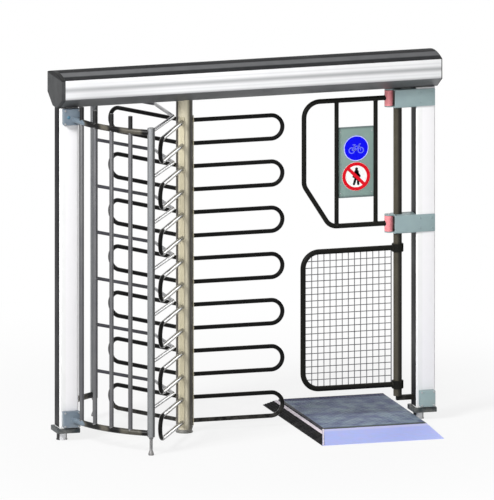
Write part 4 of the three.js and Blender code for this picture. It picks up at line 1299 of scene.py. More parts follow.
def make_cage_half(word, side, top_rail):
    """Rails, bars and end post of one half of the cage, with weld beads where they meet."""
    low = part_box(f"cage_{word}_panel")[0]
    block_low, block_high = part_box(f"cage_block_{word}_top")
    block_face = max(abs(block_low.y), abs(block_high.y)) - BLOCK_BOLT_HEIGHT
    pad_middle = block_face + PAD_THICKNESS / 2
    start = math.pi - side * math.asin(pad_middle / CAGE_RADIUS)
    end = math.pi - side * CAGE_END
    rails, pads, bars, welds = [], [], [], []
    pad_x = -math.sqrt(CAGE_RADIUS**2 - pad_middle**2)
    for z in (BOTTOM_RAIL_Z, top_rail):
        rails.append(tube(level_arc(CAGE_RADIUS, z, start, end), RAIL_RADIUS, UP))
        pad_y = sorted((side * block_face, side * (block_face + PAD_THICKNESS)))
        pad_low = (pad_x - PAD_WIDTH / 2, pad_y[0], z - PAD_HEIGHT / 2)
        pad_high = (pad_x + PAD_WIDTH / 2, pad_y[1], z + PAD_HEIGHT / 2)
        pads.append(rounded_box(pad_low, pad_high, PAD_CORNER, EASE, "y"))
    for i in range(1, CAGE_BARS + 1):
        angle = math.pi - side * (CAGE_END - i * CAGE_BAR_PITCH)
        foot = on_circle(CAGE_RADIUS, angle, 0)
        profile = post_profile(BAR_RADIUS, BOTTOM_RAIL_Z, top_rail + BAR_RISE, BAR_DOME)
        bars.append(turned(profile, foot, UP, TUBE_SIDES))
        run = np.array([-math.sin(angle), math.cos(angle), 0])
        for z, way in ((BOTTOM_RAIL_Z, 1), (top_rail, 1), (top_rail, -1)):
            welds.append(weld_ring(foot + UP * z, UP * way, run, BAR_RADIUS, RAIL_RADIUS))
    end_foot = on_circle(CAGE_RADIUS, end, 0)
    profile = post_profile(END_POST_RADIUS, low.z, top_rail + END_POST_RISE, END_POST_DOME)
    end_post = turned(profile, end_foot, UP, END_POST_SIDES)
    inward = side * np.array([-math.sin(end), math.cos(end), 0])
    for z in (BOTTOM_RAIL_Z, top_rail):
        welds.append(weld_ring(end_foot + UP * z, inward, UP, RAIL_RADIUS, END_POST_RADIUS))
    node = f"cage_{word}_panel"
    piece(f"cage_{word}_bars", bars, cage_steel, "grey_steel", "frame", node)
    piece(f"cage_{word}_rails", rails, rail_steel, "grey_steel", "frame", node)
    piece(f"cage_{word}_pads", pads, block_coat, "blue_grey_paint", "frame", node)
    piece(f"cage_{word}_welds", welds, cage_steel, "grey_steel", "frame", node)
    piece(f"cage_{word}_end_post", [end_post], end_post_steel, "grey_steel", "frame", node)
    make_cage_foot(word, end_foot)


def thread(radius, depth, pitch, low, high, centre):
    """A screw thread: radius = r - depth x |2 frac(z / pitch - a / turn) - 1|."""
    z = np.linspace(low, high, int((high - low) / pitch) * THREAD_STEPS + 1)[:, None]
    a = np.linspace(0, 2 * np.pi, THREAD_SIDES, endpoint=False)[None, :]
    wave = np.abs(2 * np.mod(z / pitch - a / (2 * np.pi), 1) - 1)
    r = radius - depth * wave
    points = np.stack([r * np.cos(a), r * np.sin(a), np.broadcast_to(z, r.shape)], -1)
    return loft(points + np.asarray(centre, float))


def make_cage_foot(word, place):
    """A threaded rod with a bell-shaped foot and a lock nut against the end post."""
    low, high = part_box(f"cage_foot_{word}")
    radius = (high.x - low.x) / 2
    share, shoulder = BELL_SHOULDER
    bell = [(radius - EASE, 0), (radius, EASE), (radius, BELL_RIM), (radius * share, shoulder)]
    foot = turned(bell + [BELL_NECK], place)
    rod = thread(SCREW_RADIUS, THREAD_DEPTH, THREAD_PITCH, SCREW_START, high.z - SEAT, place)
    r, chamfer, nut_low = NUT_RADIUS, NUT_CHAMFER, high.z - NUT_HEIGHT
    nut_profile = [(r - chamfer, nut_low), (r, nut_low + chamfer)]
    nut_profile += [(r, high.z - chamfer), (r - chamfer, high.z)]
    nut = turned(nut_profile, place, UP, HEX_SIDES)
    piece(
        f"cage_foot_{word}_screw",
        [foot, rod, nut],
        screw_steel,
        "zinc_steel",
        "frame",
        f"cage_foot_{word}",
    )


def make_comb(index, z):
    """A fixed bar, bent twice, from the rear end post past the column to the front one."""
    ends = CAGE_RADIUS - END_POST_RADIUS
    angles = (math.pi - CAGE_END, math.pi + CAGE_END)
    corners = [on_circle(r, angles[0], z) for r in (ends, COMB_CORNER)]
    corners += [on_circle(r, angles[1], z) for r in (COMB_CORNER, ends)]
    shells = [tube(bent_path(corners, [COMB_BEND, COMB_BEND]), COMB_RADIUS, UP, COMB_SIDES)]
    for angle in angles:
        inward = -on_circle(1, angle, 0)
        shells.append(
            weld_ring(on_circle(CAGE_RADIUS, angle, z), inward, UP, COMB_RADIUS, END_POST_RADIUS)
        )
    piece(
        f"comb_{index + 1}_bar", shells, comb_steel, "grey_steel", "frame", f"comb_bar_{index + 1}"
    )


# Rotor


def make_wing(index, lowest, pitch):
    """A carrier strip with seven hoops welded on, turned to its place about the axis."""
    low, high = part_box("rotor_wing_1")
    carrier_low = (low.x, -CARRIER_WIDTH / 2, low.z)
    carrier_high = (low.x + CARRIER_THICKNESS, CARRIER_WIDTH / 2, high.z)
    carrier = [rounded_box(carrier_low, carrier_high, EASE, EASE)]
    shells = []
    face = low.x + CARRIER_THICKNESS
    tip = high.x - HOOP_RADIUS
    turn = HOOP_HEIGHT / 2
    for j in range(HOOPS):
        z = lowest + j * pitch
        upper = z + HOOP_HEIGHT
        corners = [(face - SEAT, 0, z), (tip, 0, z), (tip, 0, upper), (face - SEAT, 0, upper)]
        path = bent_path(corners, [turn, turn], HOOP_BEND_STEPS)
        shells.append(tube(path, HOOP_RADIUS, ACROSS))
        for bar in (z, upper):
            carrier.append(weld_on_flat((face, 0, bar), ALONG, HOOP_RADIUS))
    angle = 2 * math.pi * index / 3
    node = f"rotor_wing_{index + 1}"
    piece(f"wing_{index + 1}_hoops", spun(shells, angle), hoop_coat, "black_paint", "rotor", node)
    piece(
        f"wing_{index + 1}_carrier",
        spun(carrier, angle),
        carrier_coat,
        "cream_paint",
        "rotor",
        node,
    )


def spun(shells, angle):
    """Shells turned about the rotor's axis."""
    c, s = math.cos(angle), math.sin(angle)
    turn = np.array([[c, s, 0], [-s, c, 0], [0, 0, 1]])
    return [Shell(shell.points @ turn, shell.corners, shell.sizes) for shell in shells]


def make_column():
    """The turning column, with a small round at its foot and a pivot under it."""
    low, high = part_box("rotor_column")
    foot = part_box("floor_bearing")[1].z + PLAY
    r = COLUMN_RADIUS
    profile = [(PIVOT_RADIUS, low.z), (PIVOT_RADIUS, foot), (r - COLUMN_ROUND, foot)]
    profile += [(r, foot + COLUMN_ROUND), (r, high.z - EASE), (r - EASE, high.z)]
    column = turned(profile, ORIGIN, UP, COLUMN_SIDES)
    bottom, top = FOOT_RING
    inner, outer = r + FOOT_RING_SKIN, r + FOOT_RING_THICKNESS
    ring = [(inner, bottom), (outer, bottom + EASE), (outer, top - EASE), (inner, top)]
    collar = turned(ring, ORIGIN, UP, COLUMN_SIDES)
    piece("column_tube", [column, collar], column_coat, "cream_paint", "rotor", "rotor_column")


def make_floor_bearing():
    """A round base that steps in to the column's foot."""
    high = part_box("floor_bearing")[1]
    r = high.x
    flange, neck, fillet = BEARING_FLANGE, BEARING_NECK, BEARING_FILLET
    profile = [(r - EASE, 0), (r, EASE), (r, flange - EASE), (r - EASE, flange)]
    profile += [(neck + fillet, flange + SEAT), (neck, flange + 2 * SEAT), (neck, high.z)]
    profile += [(BEARING_BORE, high.z), (BEARING_BORE, BEARING_FLOOR)]
    base = turned(profile, ORIGIN, UP, COLUMN_SIDES)
    piece("floor_bearing_base", [base], bearing_coat, "grey_steel", "frame", "floor_bearing")


# Gate


def make_jamb():
    """The fixed tube that the lower leaf turns on, and the square arm that carries its foot."""
    low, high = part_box("gate_jamb")
    axis = (low.x + JAMB_RADIUS, 0, 0)
    r = JAMB_RADIUS
    arm_top = low.z + JAMB_ARM_SIZE
    profile = [(r, arm_top - SEAT), (r, high.z - EASE), (r - EASE, high.z)]
    shells = [turned(profile, axis, UP, JAMB_SIDES)]
    arm_low = (low.x + r - JAMB_ARM_INSET, -JAMB_ARM_SIZE / 2, low.z)
    arm_high = (high.x, JAMB_ARM_SIZE / 2, arm_top)
    # The tube's paint carries a painted highlight and a painted shade.
    piece("gate_jamb_tube", shells, jamb_highlight_and_shade_coat, "black_paint", "frame", "gate_jamb")
    arm = rounded_box(arm_low, arm_high, JAMB_ARM_CORNER, FINE_RIM, "x")
    piece("gate_jamb_arm", [arm], leaf_coat, "black_paint", "frame", "gate_jamb")
    return axis[0]


def lug_outline(hinge, post, front, back):
    """A lug's plan: a round nose at the hinge, widening to the front and back plates."""
    a = np.linspace(np.pi / 2, 3 * np.pi / 2, NOSE_STEPS)
    nose = np.array([hinge, 0]) + KNUCKLE_RADIUS * np.stack([np.cos(a), np.sin(a)], -1)
    shoulder = hinge + BRACKET_SHOULDER
    tail = [(shoulder, -KNUCKLE_RADIUS), (shoulder, front), (post, front)]
    tail += [(post, back), (shoulder, back), (shoulder, KNUCKLE_RADIUS)]
    return np.concatenate([nose, tail])


def make_bracket(word):
    """A face plate, a web, a back plate and two lugs round the knuckle, with four bolts."""
    low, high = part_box(f"gate_bracket_{word}")
    hinge = low.x + KNUCKLE_RADIUS
    post = right_low.x
    plate_bottom = high.z - BRACKET_HEIGHT
    plate_inside = low.y + BRACKET_PLATE
    plate_low = (hinge + BRACKET_SHOULDER, low.y, plate_bottom)
    plate_high = (high.x, plate_inside, high.z)
    back_low = (hinge + BRACKET_BACK_START, high.y - BRACKET_BACK, low.z)
    web_start, web_end = BRACKET_WEB
    web_low = (hinge + web_start, plate_inside, low.z)
    web_high = (hinge + web_end, -JAMB_RADIUS, high.z)
    shells = [
        rounded_box(plate_low, plate_high, *PLATE_ROUNDS, "y"),
        rounded_box(back_low, (post, high.y, high.z), *BACK_ROUNDS, "y"),
        rounded_box(web_low, web_high, EASE, FINE_RIM),
    ]
    for z in (low.z, high.z - LUG_THICKNESS):
        outline = lug_outline(hinge, post, plate_inside, high.y)
        shells.append(prism(outline, z, z + LUG_THICKNESS, FINE_RIM))
    name = f"gate_bracket_{word}"
    piece(f"{name}_plates", shells, bracket_coat, "blue_grey_paint", "frame", name)
    bolts = []
    inset = BRACKET_BOLT_INSET
    for x in (post + inset, high.x - inset):
        for z in (plate_bottom + inset, high.z - inset):
            bolts.append(
                button_head((x, low.y, z), FRONT, BRACKET_BOLT_RADIUS, BRACKET_BOLT_HEIGHT)
            )
    piece(f"{name}_bolts", bolts, bracket_coat, "blue_grey_paint", "frame")
    pin_low, pin_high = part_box(f"hinge_pin_{word}")
    r, head = PIN_RADIUS, PIN_HEAD_RADIUS
    inward, down = PIN_HEAD_CHAMFER
    profile = [(r - EASE, pin_low.z), (r, pin_low.z + EASE), (r, high.z), (head, high.z)]
    profile += [(head, pin_high.z - down), (head - inward, pin_high.z)]
    pin = turned(profile, (hinge, 0, 0), UP, PIN_SIDES)
    piece(f"hinge_pin_{word}_turned", [pin], zinc_plate, "zinc_steel", "frame", f"hinge_pin_{word}")
    make_knuckle(word, hinge)
    return hinge


def make_knuckle(word, hinge):
    """A hinge barrel with two shallow grooves and a grease nipple's boss."""
    low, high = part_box(f"hinge_knuckle_{word}")
    r, bore, e = KNUCKLE_RADIUS, KNUCKLE_BORE, KNUCKLE_ROUND
    middle = (low.z + high.z) / 2
    wide, narrow = GROOVE_HALVES
    profile = [(bore, low.z), (r - e, low.z), (r, low.z + e)]
    for z in (low.z + GROOVE_INSET, high.z - GROOVE_INSET):
        profile += [(r, z - wide), (r - GROOVE_DEPTH, z - narrow)]
        profile += [(r - GROOVE_DEPTH, z + narrow), (r, z + wide)]
    profile += [(r, high.z - e), (r - e, high.z), (bore, high.z)]
    barrel = turned(profile, (hinge, 0, 0), UP, closed=True)
    nipple = turned(NIPPLE_PROFILE, (hinge, -r + EASE, middle), FRONT, NIPPLE_SIDES)
    name = f"hinge_knuckle_{word}"
    piece(f"{name}_barrel", [barrel, nipple], knuckle_enamel, "red_paint", "upper_leaf", name)


def make_upper_leaf(hinge):
    """One bent tube with two upright bars in it."""
    low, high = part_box("upper_leaf_frame")
    tip = low.x + UPPER_TUBE
    bottom, top = low.z + UPPER_TUBE, high.z - UPPER_TUBE
    width, rise = UPPER_CHAMFER
    end = hinge - KNUCKLE_RADIUS + SEAT
    corners = [(end, 0, top), (tip, 0, top), (tip, 0, bottom + rise)]
    corners += [(tip + width, 0, bottom), (end, 0, bottom)]
    path = bent_path(corners, [LEAF_CORNER, CHAMFER_CORNER, CHAMFER_CORNER])
    shells = [tube(path, UPPER_TUBE, ACROSS)]
    for x in UPPER_BARS:
        foot = np.array([tip + x, 0, 0])
        shells.append(turned([(BAR_RADIUS, bottom), (BAR_RADIUS, top)], foot, UP, TUBE_SIDES))
        for z, way in ((bottom, 1), (top, -1)):
            shells.append(weld_ring(foot + UP * z, UP * way, ALONG, BAR_RADIUS, UPPER_TUBE))
    for z in (bottom, top):
        shells.append(weld_ring((hinge, 0, z), -ALONG, UP, UPPER_TUBE, KNUCKLE_RADIUS))
    piece("upper_leaf_tubes", shells, leaf_coat, "black_paint", "upper_leaf", "upper_leaf_frame")


def make_sign_panel():
    """A thin sheet with round corners and four rivets through it."""
    low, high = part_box("sign_panel")
    sheet = rounded_box(low, high, SIGN_CORNER, FINE_RIM, "y")
    piece("sign_panel_sheet", [sheet], sign_sheet, "sign_grey", "upper_leaf", "sign_panel")
    rivets = []
    across, along = RIVET_INSETS
    for x in (low.x + across, high.x - across):
        for z in (low.z + along, high.z - along):
            for face, way in ((low.y, -1), (high.y, 1)):
                rivets.append(button_head((x, face, z), (0, way, 0), RIVET_RADIUS, RIVET_HEIGHT))
    piece("sign_panel_rivets", rivets, zinc_plate, "zinc_steel", "upper_leaf")


def mark(outline, face, lift):
    """A flat mark on a sign's face, which looks towards -Y."""
    return prism(outline, face - lift, face + MARK_SINK, 0.0, "y")


def ring_mark(centre, outer, inner, face, lift):
    """A flat ring on a sign's face."""
    profile = [(inner, 0), (inner, lift), (outer, lift), (outer, 0)]
    return turned(profile, (centre[0], face, centre[1]), FRONT, closed=True)


def strokes(centre, size, lines, width, face, lift):
    """Round-ended strokes, given in shares of a size from a centre."""
    ends = np.array(lines) * size + np.array(centre)
    return [mark(capsule(start, end, width), face, lift) for start, end in ends]


def disc_on(node):
    """A sign disc's centre, radius, front and back."""
    low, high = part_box(node)
    return ((low.x + high.x) / 2, (low.z + high.z) / 2), (high.x - low.x) / 2, low.y, high.y


# The signs' marks, in shares of their radius
CYCLE_RIM_SHARES = (0.99, 0.93)
STROKE_SHARE = 0.07
WHEEL_SHARE = 0.25
WHEEL_PLACE_SHARES = ((-0.36, -0.16), (0.36, -0.16))
BICYCLE_SHARES = [
    ((-0.36, -0.16), (-0.14, 0.16)),
    ((-0.14, 0.16), (0.22, 0.16)),
    ((0.22, 0.16), (-0.02, -0.16)),
    ((-0.02, -0.16), (-0.36, -0.16)),
    ((-0.02, -0.16), (-0.17, 0.26)),
    ((-0.26, 0.28), (-0.08, 0.28)),
    ((0.36, -0.16), (0.20, 0.30)),
    ((0.20, 0.30), (0.34, 0.32)),
]
RED_RING_SHARES = (0.99, 0.76)
RED_BAR_SHARE = 0.23
RED_BAR_SHARES = [((-0.60, 0.60), (0.60, -0.60))]
RED_BAR_LIFT = 1.6 * MARK_LIFT
RED_RING_LIFT = 2 * MARK_LIFT
BODY_WIDTH_SHARE = 0.34
LIMB_WIDTH_SHARE = 0.17
HEAD_SHARE = 0.105
HEAD_PLACE_SHARE = (0.02, 0.52)
BODY_SHARES = [((0.02, 0.30), (0.0, -0.02))]
LIMB_SHARES = [
    ((0.0, -0.04), (0.14, -0.28)),
    ((0.14, -0.28), (0.14, -0.54)),
    ((0.0, -0.04), (-0.08, -0.28)),
    ((-0.08, -0.28), (-0.16, -0.52)),
    ((0.02, 0.30), (0.16, 0.12)),
    ((0.16, 0.12), (0.24, 0.00)),
    ((0.02, 0.30), (-0.14, 0.16)),
    ((-0.14, 0.16), (-0.18, -0.02)),
]


def sign_plate(radius, centre, front, back):
    """A round plate with a small round at its rim, whose front looks towards -Y."""
    e = SIGN_ROUND
    thick = back - front
    profile = [(radius - e, 0), (radius, e), (radius, thick - e), (radius - e, thick)]
    return turned(profile, (centre[0], back, centre[1]), FRONT, SIGN_SIDES)


def make_cycle_sign():
    """A blue disc with a pale rim and a pale bicycle."""
    centre, radius, front, back = disc_on("cycle_sign")
    face = front + CYCLE_FACE_DEPTH
    plate = sign_plate(radius, centre, face, back)
    piece("cycle_sign_plate", [plate], blue_face, "sign_blue", "upper_leaf", "cycle_sign")
    outer, inner = CYCLE_RIM_SHARES
    rim = ring_mark(centre, radius * outer, radius * inner, face, MARK_LIFT)
    piece("cycle_sign_rim", [rim], rim_face, "sign_blue", "upper_leaf", "cycle_sign")
    shells = []
    stroke = radius * STROKE_SHARE
    wheel = radius * WHEEL_SHARE
    for across, rise in WHEEL_PLACE_SHARES:
        hub = (centre[0] + across * radius, centre[1] + rise * radius)
        shells.append(ring_mark(hub, wheel, wheel - stroke, face, MARK_LIFT))
    shells += strokes(centre, radius, BICYCLE_SHARES, stroke, face, MARK_LIFT)
    piece("cycle_sign_marks", shells, cycle_face, "sign_blue", "upper_leaf", "cycle_sign")


def make_walk_sign():
    """A white disc with a red ring, a black walker and a red bar across it."""
    centre, radius, front, back = disc_on("no_walking_sign")
    face = front + WALK_FACE_DEPTH
    plate = sign_plate(radius, centre, face, back)
    piece("walk_sign_plate", [plate], white_face, "sign_red", "upper_leaf", "no_walking_sign")
    head = (centre[0] + HEAD_PLACE_SHARE[0] * radius, centre[1] + HEAD_PLACE_SHARE[1] * radius)
    shells = [mark(circle_outline(head, HEAD_SHARE * radius, HEAD_SIDES), face, MARK_LIFT)]
    shells += strokes(centre, radius, BODY_SHARES, radius * BODY_WIDTH_SHARE, face, MARK_LIFT)
    shells += strokes(centre, radius, LIMB_SHARES, radius * LIMB_WIDTH_SHARE, face, MARK_LIFT)
    piece("walk_sign_walker", shells, black_face, "sign_red", "upper_leaf", "no_walking_sign")
    bar = strokes(centre, radius, RED_BAR_SHARES, radius * RED_BAR_SHARE, face, RED_BAR_LIFT)
    outer, inner = RED_RING_SHARES
    ring = ring_mark(centre, radius * outer, radius * inner, face, RED_RING_LIFT)
    piece("walk_sign_ring", [ring] + bar, red_face, "sign_red", "upper_leaf", "no_walking_sign")


def make_lower_leaf(jamb):
    """One bent tube between two collars that turn on the jamb."""
    low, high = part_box("lower_leaf_frame")
    tip = low.x + LOWER_TUBE
    bottom, top = low.z + COLLAR_HEIGHT / 2, high.z - COLLAR_HEIGHT / 2
    end = jamb - COLLAR_RADIUS + SEAT
    corners = [(end, 0, top), (tip, 0, top), (tip, 0, bottom), (end, 0, bottom)]
    shells = [tube(bent_path(corners, [LEAF_CORNER, LEAF_CORNER]), LOWER_TUBE, ACROSS)]
    bore, r, e = JAMB_RADIUS + PLAY, COLLAR_RADIUS, COLLAR_ROUND
    for z in (bottom, top):
        b, t = z - COLLAR_HEIGHT / 2, z + COLLAR_HEIGHT / 2
        profile = [(bore, b), (r - e, b), (r, b + e), (r, t - e), (r - e, t), (bore, t)]
        shells.append(turned(profile, (jamb, 0, 0), UP, closed=True))
        shells.append(weld_ring((jamb, 0, z), -ALONG, UP, LOWER_TUBE, COLLAR_RADIUS))
    piece("lower_leaf_tubes", shells, leaf_coat, "black_paint", "lower_leaf", "lower_leaf_frame")
    return tip, bottom, top


def make_net(tip, bottom, top):
    """Straight wires that cross, cut to the leaf's round corners, with a thicker one at the jamb.
    A wire's end follows the corner's circle: inset = r - sqrt(r^2 - (r - distance)^2)."""
    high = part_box("lower_leaf_mesh")[1]
    inset = LOWER_TUBE
    left, right = tip + inset, high.x
    floor, roof = bottom + inset, top - inset
    r = LEAF_CORNER - inset

    def drawn_in(distance):
        short = max(r - distance, 0)
        return r - math.sqrt(r * r - short * short)

    shells = []
    for i in range(1, NET_COLUMNS):
        x = left + (right - left) * i / NET_COLUMNS
        cut = drawn_in(x - left)
        ends = [(NET_WIRE, floor + cut - EASE), (NET_WIRE, roof - cut + EASE)]
        shells.append(turned(ends, (x, NET_OFFSET, 0), UP, WIRE_SIDES))
    for j in range(1, NET_ROWS):
        z = floor + (roof - floor) * j / NET_ROWS
        cut = drawn_in(min(z - floor, roof - z))
        ends = [(NET_WIRE, left + cut - EASE), (NET_WIRE, right)]
        shells.append(turned(ends, (0, -NET_OFFSET, z), ALONG, WIRE_SIDES))
    border = NET_WIRE * NET_BORDER_SHARE
    shells.append(turned([(border, floor), (border, roof)], (right, 0, 0), UP, BORDER_SIDES))
    piece("lower_leaf_net", shells, net_wire, "zinc_steel", "lower_leaf", "lower_leaf_mesh")


# Platform


def tread_template():
    """One raised tread: a lens outline with a smaller, higher copy of it for its top."""
    a = np.linspace(0, 2 * np.pi, TREAD_SIDES, endpoint=False)
    lens = np.stack([TREAD_LENGTH * np.cos(a), TREAD_WIDTH * np.sin(a)], -1)
    rings = [np.column_stack([lens * share, np.full(TREAD_SIDES, z)]) for share, z in TREAD_LEVELS]
    return loft(np.stack(rings))


def make_deck():
    """A plate with rows of treads, each turned a quarter against its neighbours."""
    low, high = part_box("platform_deck")
    plate = rounded_box(low, high, DECK_CORNER, DECK_RIM)
    columns = int((high.x - low.x - TREAD_MARGIN) / TREAD_PITCH)
    rows = int((high.y - low.y - TREAD_MARGIN) / TREAD_PITCH)
    i, j = (g.ravel() for g in np.meshgrid(np.arange(columns), np.arange(rows)))
    x = (low.x + high.x) / 2 + (i - (columns - 1) / 2) * TREAD_PITCH
    y = (low.y + high.y) / 2 + (j - (rows - 1) / 2) * TREAD_PITCH
    angles = np.where((i + j) % 2 == 0, np.pi / 4, -np.pi / 4)
    centres = np.stack([x, y, np.full(len(x), high.z)], -1)
    treads = moved_copies(tread_template(), angles, centres)
    piece("platform_chequer", [plate, treads], deck_plate, "deck_steel", "frame", "platform_deck")
    edges = []
    for y0 in (low.y, high.y - EDGE_BAR_WIDTH):
        bar_low = (low.x, y0, high.z - EDGE_BAR_SINK)
        bar_high = (high.x, y0 + EDGE_BAR_WIDTH, high.z + EDGE_BAR_RISE)
        edges.append(rounded_box(bar_low, bar_high, EASE, SHEET_RIM))
    piece("platform_edge_bars", edges, shade_strip_and_edge_coat, "dark_grey_paint", "frame")


def make_front_ramp():
    """A sheet that falls from the deck's edge to a thin lip, wider at the floor."""
    low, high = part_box("platform_front_ramp")
    share = np.linspace(0, 1, RAMP_RINGS)[:, None]
    left = deck_low.x + (low.x - deck_low.x) * share
    right = deck_high.x + (high.x - deck_high.x) * share
    y = high.y + (low.y - high.y) * share
    top = high.z + (RAMP_LIP - high.z) * share
    e = RAMP_ROUND
    ring_x = np.concatenate([left, left, left + e, right - e, right, right], 1)
    ring_z = np.concatenate([0 * top, top - e, top, top, top - e, 0 * top], 1)
    rings = np.stack([ring_x, np.broadcast_to(y, ring_x.shape), np.maximum(ring_z, 0)], -1)
    piece(
        "platform_ramp_front",
        [loft(rings)],
        ramp_coat,
        "ramp_paint",
        "frame",
        "platform_front_ramp",
    )
    r = RAMP_BEAD
    start = (deck_low.x + r, high.y - BEAD_END_GAP, high.z)
    line = np.array([start, (low.x + BEAD_LIP_INSET, low.y + BEAD_END_GAP, r)])
    along = (line[1] - line[0]) / np.linalg.norm(line[1] - line[0])
    normal = side_vectors(along)[0]
    bead = tube(Path(line, np.stack([along, along])), r, normal, BORDER_SIDES)
    piece("platform_ramp_bead", [bead], trim_steel, "bright_steel", "frame")


def ramp_strip(profile, front_at, rear):
    """A profile in X and Z carried along Y, from a slanted front end to a square rear end."""
    x, z = np.array(profile, float).T
    front = np.stack([x, front_at(x), z], -1)
    back = np.stack([x, np.full_like(x, rear), z], -1)
    return loft(np.stack([front, back]))


def make_side_ramp():
    """A rubber ramp with long ribs, and a pale trim strip beside the deck."""
    low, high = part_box("platform_side_ramp")
    deck_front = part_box("platform_deck")[0].y
    lean = (low.y - deck_front) / (high.x - low.x)

    def front_at(x):
        return deck_front + lean * (high.x - x) + RAMP_FRONT_GAP

    def slope(x):
        return RAMP_LIP + (high.z - RAMP_LIP) * (x - low.x) / (high.x - low.x)

    x = np.linspace(low.x, high.x - RIB_END, RIB_STEPS)
    rib = RIB_HEIGHT * np.maximum(np.cos((x - low.x) / RIB_PITCH * 2 * np.pi), 0)
    top = np.stack([x, slope(x) + rib], -1)
    under = [(high.x, slope(high.x - RIB_END)), (high.x, 0), (low.x, 0)]
    profile = np.concatenate([top, under])
    ramp = ramp_strip(profile, front_at, high.y)
    piece("platform_ramp_side", [ramp], ramp_rubber, "black_paint", "frame", "platform_side_ramp")
    a, b = (high.x - place for place in TRIM_PLACES)
    trim = [(a, slope(a) - TRIM_SINK), (b, slope(b) - TRIM_SINK), (b, slope(b))]
    trim += [(b - EASE, slope(b) + TRIM_RISE), (a + EASE, slope(a) + TRIM_RISE), (a, slope(a))]
    piece(
        "platform_side_trim",
        [ramp_strip(trim, front_at, high.y)],
        trim_steel,
        "bright_steel",
        "frame",
    )


# Pieces that keep the frame's own shape
INNER_FINISHES = {
    "rotor_shaft": inner_steel,
    "locking_disc": inner_steel,
    "rotor_pulley": inner_steel,
    "motor_pulley": inner_steel,
    "locking_pawl": inner_steel,
    "solenoid_plunger": inner_steel,
    "drive_plate": inner_steel,
    "head_bearing": inner_steel,
    "drive_motor": motor_coat,
    "drive_belt": belt_rubber,
    "solenoid_body": motor_coat,
    "control_box": control_coat,
}


def dress_inner_nodes():
    """Gives the drive and the lock, which stay as modelled, their finishes."""
    for name, finish in INNER_FINISHES.items():
        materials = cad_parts[name].data.materials
        materials.clear()
        materials.append(finish)


# Stage


def look_at_centre(obj, azimuth, elevation, distance):
    """Places an object on a sphere round the view's centre: azimuth 0 is the front."""
    level = math.cos(elevation)
    back = Vector((math.sin(azimuth) * level, -math.cos(azimuth) * level, math.sin(elevation)))
    obj.location = Vector(VIEW_CENTRE) + back * distance
    obj.rotation_euler = back.to_track_quat("Z", "Y").to_euler()


def make_camera():
    """A parallel view from the front left, a little above."""
    data = bpy.data.cameras.new("view")
    data.type = "ORTHO"
    data.ortho_scale = VIEW_WIDTH
    data.clip_end = CLIP_END
    camera = bpy.data.objects.new("view", data)
    look_at_centre(camera, VIEW_AZIMUTH, VIEW_ELEVATION, VIEW_DISTANCE)
    bpy.context.scene.collection.objects.link(camera)
    bpy.context.scene.camera = camera


def seen_directly(graph):
    """1 for camera, glossy and transmission rays, 0 for the rays that light the object."""
    rays = graph.add("ShaderNodeLightPath").outputs
    either = graph.math("MAXIMUM", rays["Is Camera Ray"], rays["Is Glossy Ray"])
    return graph.math("MAXIMUM", either, rays["Is Transmission Ray"])


def make_world():
    """White where it is seen, and a plain level of light elsewhere."""
    world = bpy.data.worlds.new("studio")
    world.use_nodes = True
    graph = Graph(world.node_tree)
    background = world.node_tree.nodes["Background"]
    graph.feed(background, "Color", WHITE)
    graph.feed(background, "Strength", graph.ramp(seen_directly(graph), 0, 1, WORLD_LIGHT, 1.0))
    bpy.context.scene.world = world


def make_floor():
    """A wide pale floor that keeps the object's shadow near it and fades to white."""
    s = FLOOR_HALF
    points = np.array([(-s, -s, 0), (s, -s, 0), (s, s, 0), (-s, s, 0)], float)
    mesh = bpy.data.meshes.new("studio_floor")
    mesh.from_pydata(points.tolist(), [], [(0, 1, 2, 3)])
    material = bpy.data.materials.new("floor_paper")
    material.use_nodes = True
    graph = Graph(material.node_tree)
    material.node_tree.nodes.remove(material.node_tree.nodes["Principled BSDF"])
    matte = graph.add("ShaderNodeBsdfDiffuse", {"Color": FLOOR_TONE}).outputs[0]
    white = graph.add("ShaderNodeEmission", {"Color": WHITE, "Strength": 1.0}).outputs[0]
    place = graph.add("ShaderNodeTexCoord").outputs["Object"]
    far = graph.add("ShaderNodeVectorMath", {0: place}, operation="LENGTH").outputs["Value"]
    share = graph.ramp(far, *FADE_REACH, FADE_LEAST, 1.0)
    share = graph.math("MULTIPLY", share, seen_directly(graph))
    mixed = graph.add("ShaderNodeMixShader", {0: share, 1: matte, 2: white}).outputs[0]
    graph.feed(material.node_tree.nodes["Material Output"], "Surface", mixed)
    mesh.materials.append(material)
    floor = bpy.data.objects.new("studio_floor", mesh)
    bpy.context.scene.collection.objects.link(floor)


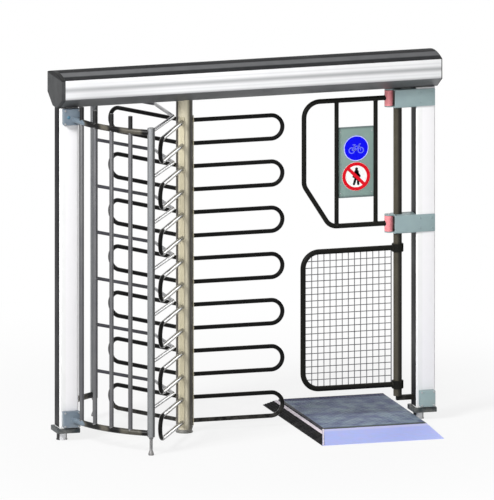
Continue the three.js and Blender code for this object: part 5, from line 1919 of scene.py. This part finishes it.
def make_lamp(name, azimuth, elevation, power, size):
    """A square soft lamp that looks at the middle of the object."""
    data = bpy.data.lights.new(name, "AREA")
    data.energy = power
    data.size = size
    lamp = bpy.data.objects.new(name, data)
    look_at_centre(lamp, math.radians(azimuth), math.radians(elevation), LAMP_DISTANCE)
    bpy.context.scene.collection.objects.link(lamp)


# Assembly

make_post("left", left_low, left_high)
make_post("right", right_low, right_high)
make_foot("left", POST_MIDDLES[0])
make_foot("right", POST_MIDDLES[1])
make_tray()
make_cover("front", -1)
make_cover("rear", 1)
make_lid()
make_cap("left")
make_cap("right")

TOP_RAIL_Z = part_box("cage_front_panel")[1].z - BAR_RISE
for word, side in (("front", -1), ("rear", 1)):
    make_block(f"cage_block_{word}_top", block_coat, True)
    make_block(f"cage_block_{word}_bottom", block_coat, False)
    make_cage_half(word, side, TOP_RAIL_Z)
make_block("post_block_right", bracket_coat, False)

wing_low, wing_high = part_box("rotor_wing_1")
LOWEST_BAR = wing_low.z + CARRIER_OVERHANG
HOOP_PITCH = (wing_high.z - CARRIER_OVERHANG - LOWEST_BAR - HOOP_HEIGHT) / (HOOPS - 1)
for j in range(HOOPS):
    make_comb(j, LOWEST_BAR + (HOOP_PITCH + HOOP_HEIGHT) / 2 + j * HOOP_PITCH)
for i in range(3):
    make_wing(i, LOWEST_BAR, HOOP_PITCH)
make_column()
make_floor_bearing()

jamb_x = make_jamb()
hinge_x = make_bracket("top")
make_bracket("middle")
make_upper_leaf(hinge_x)
make_sign_panel()
make_cycle_sign()
make_walk_sign()
make_net(*make_lower_leaf(jamb_x))
make_deck()
make_front_ramp()
make_side_ramp()
dress_inner_nodes()

make_camera()
make_world()
make_floor()
make_lamp("key", azimuth=-60, elevation=34, power=9550, size=8.6)
make_lamp("fill", azimuth=-14, elevation=12, power=1745, size=10.7)
make_lamp("rim", azimuth=160, elevation=45, power=700, size=10.7)
make_lamp("low_rim", azimuth=140, elevation=7, power=1600, size=12.0)
bpy.context.scene.view_settings.view_transform = "Standard"
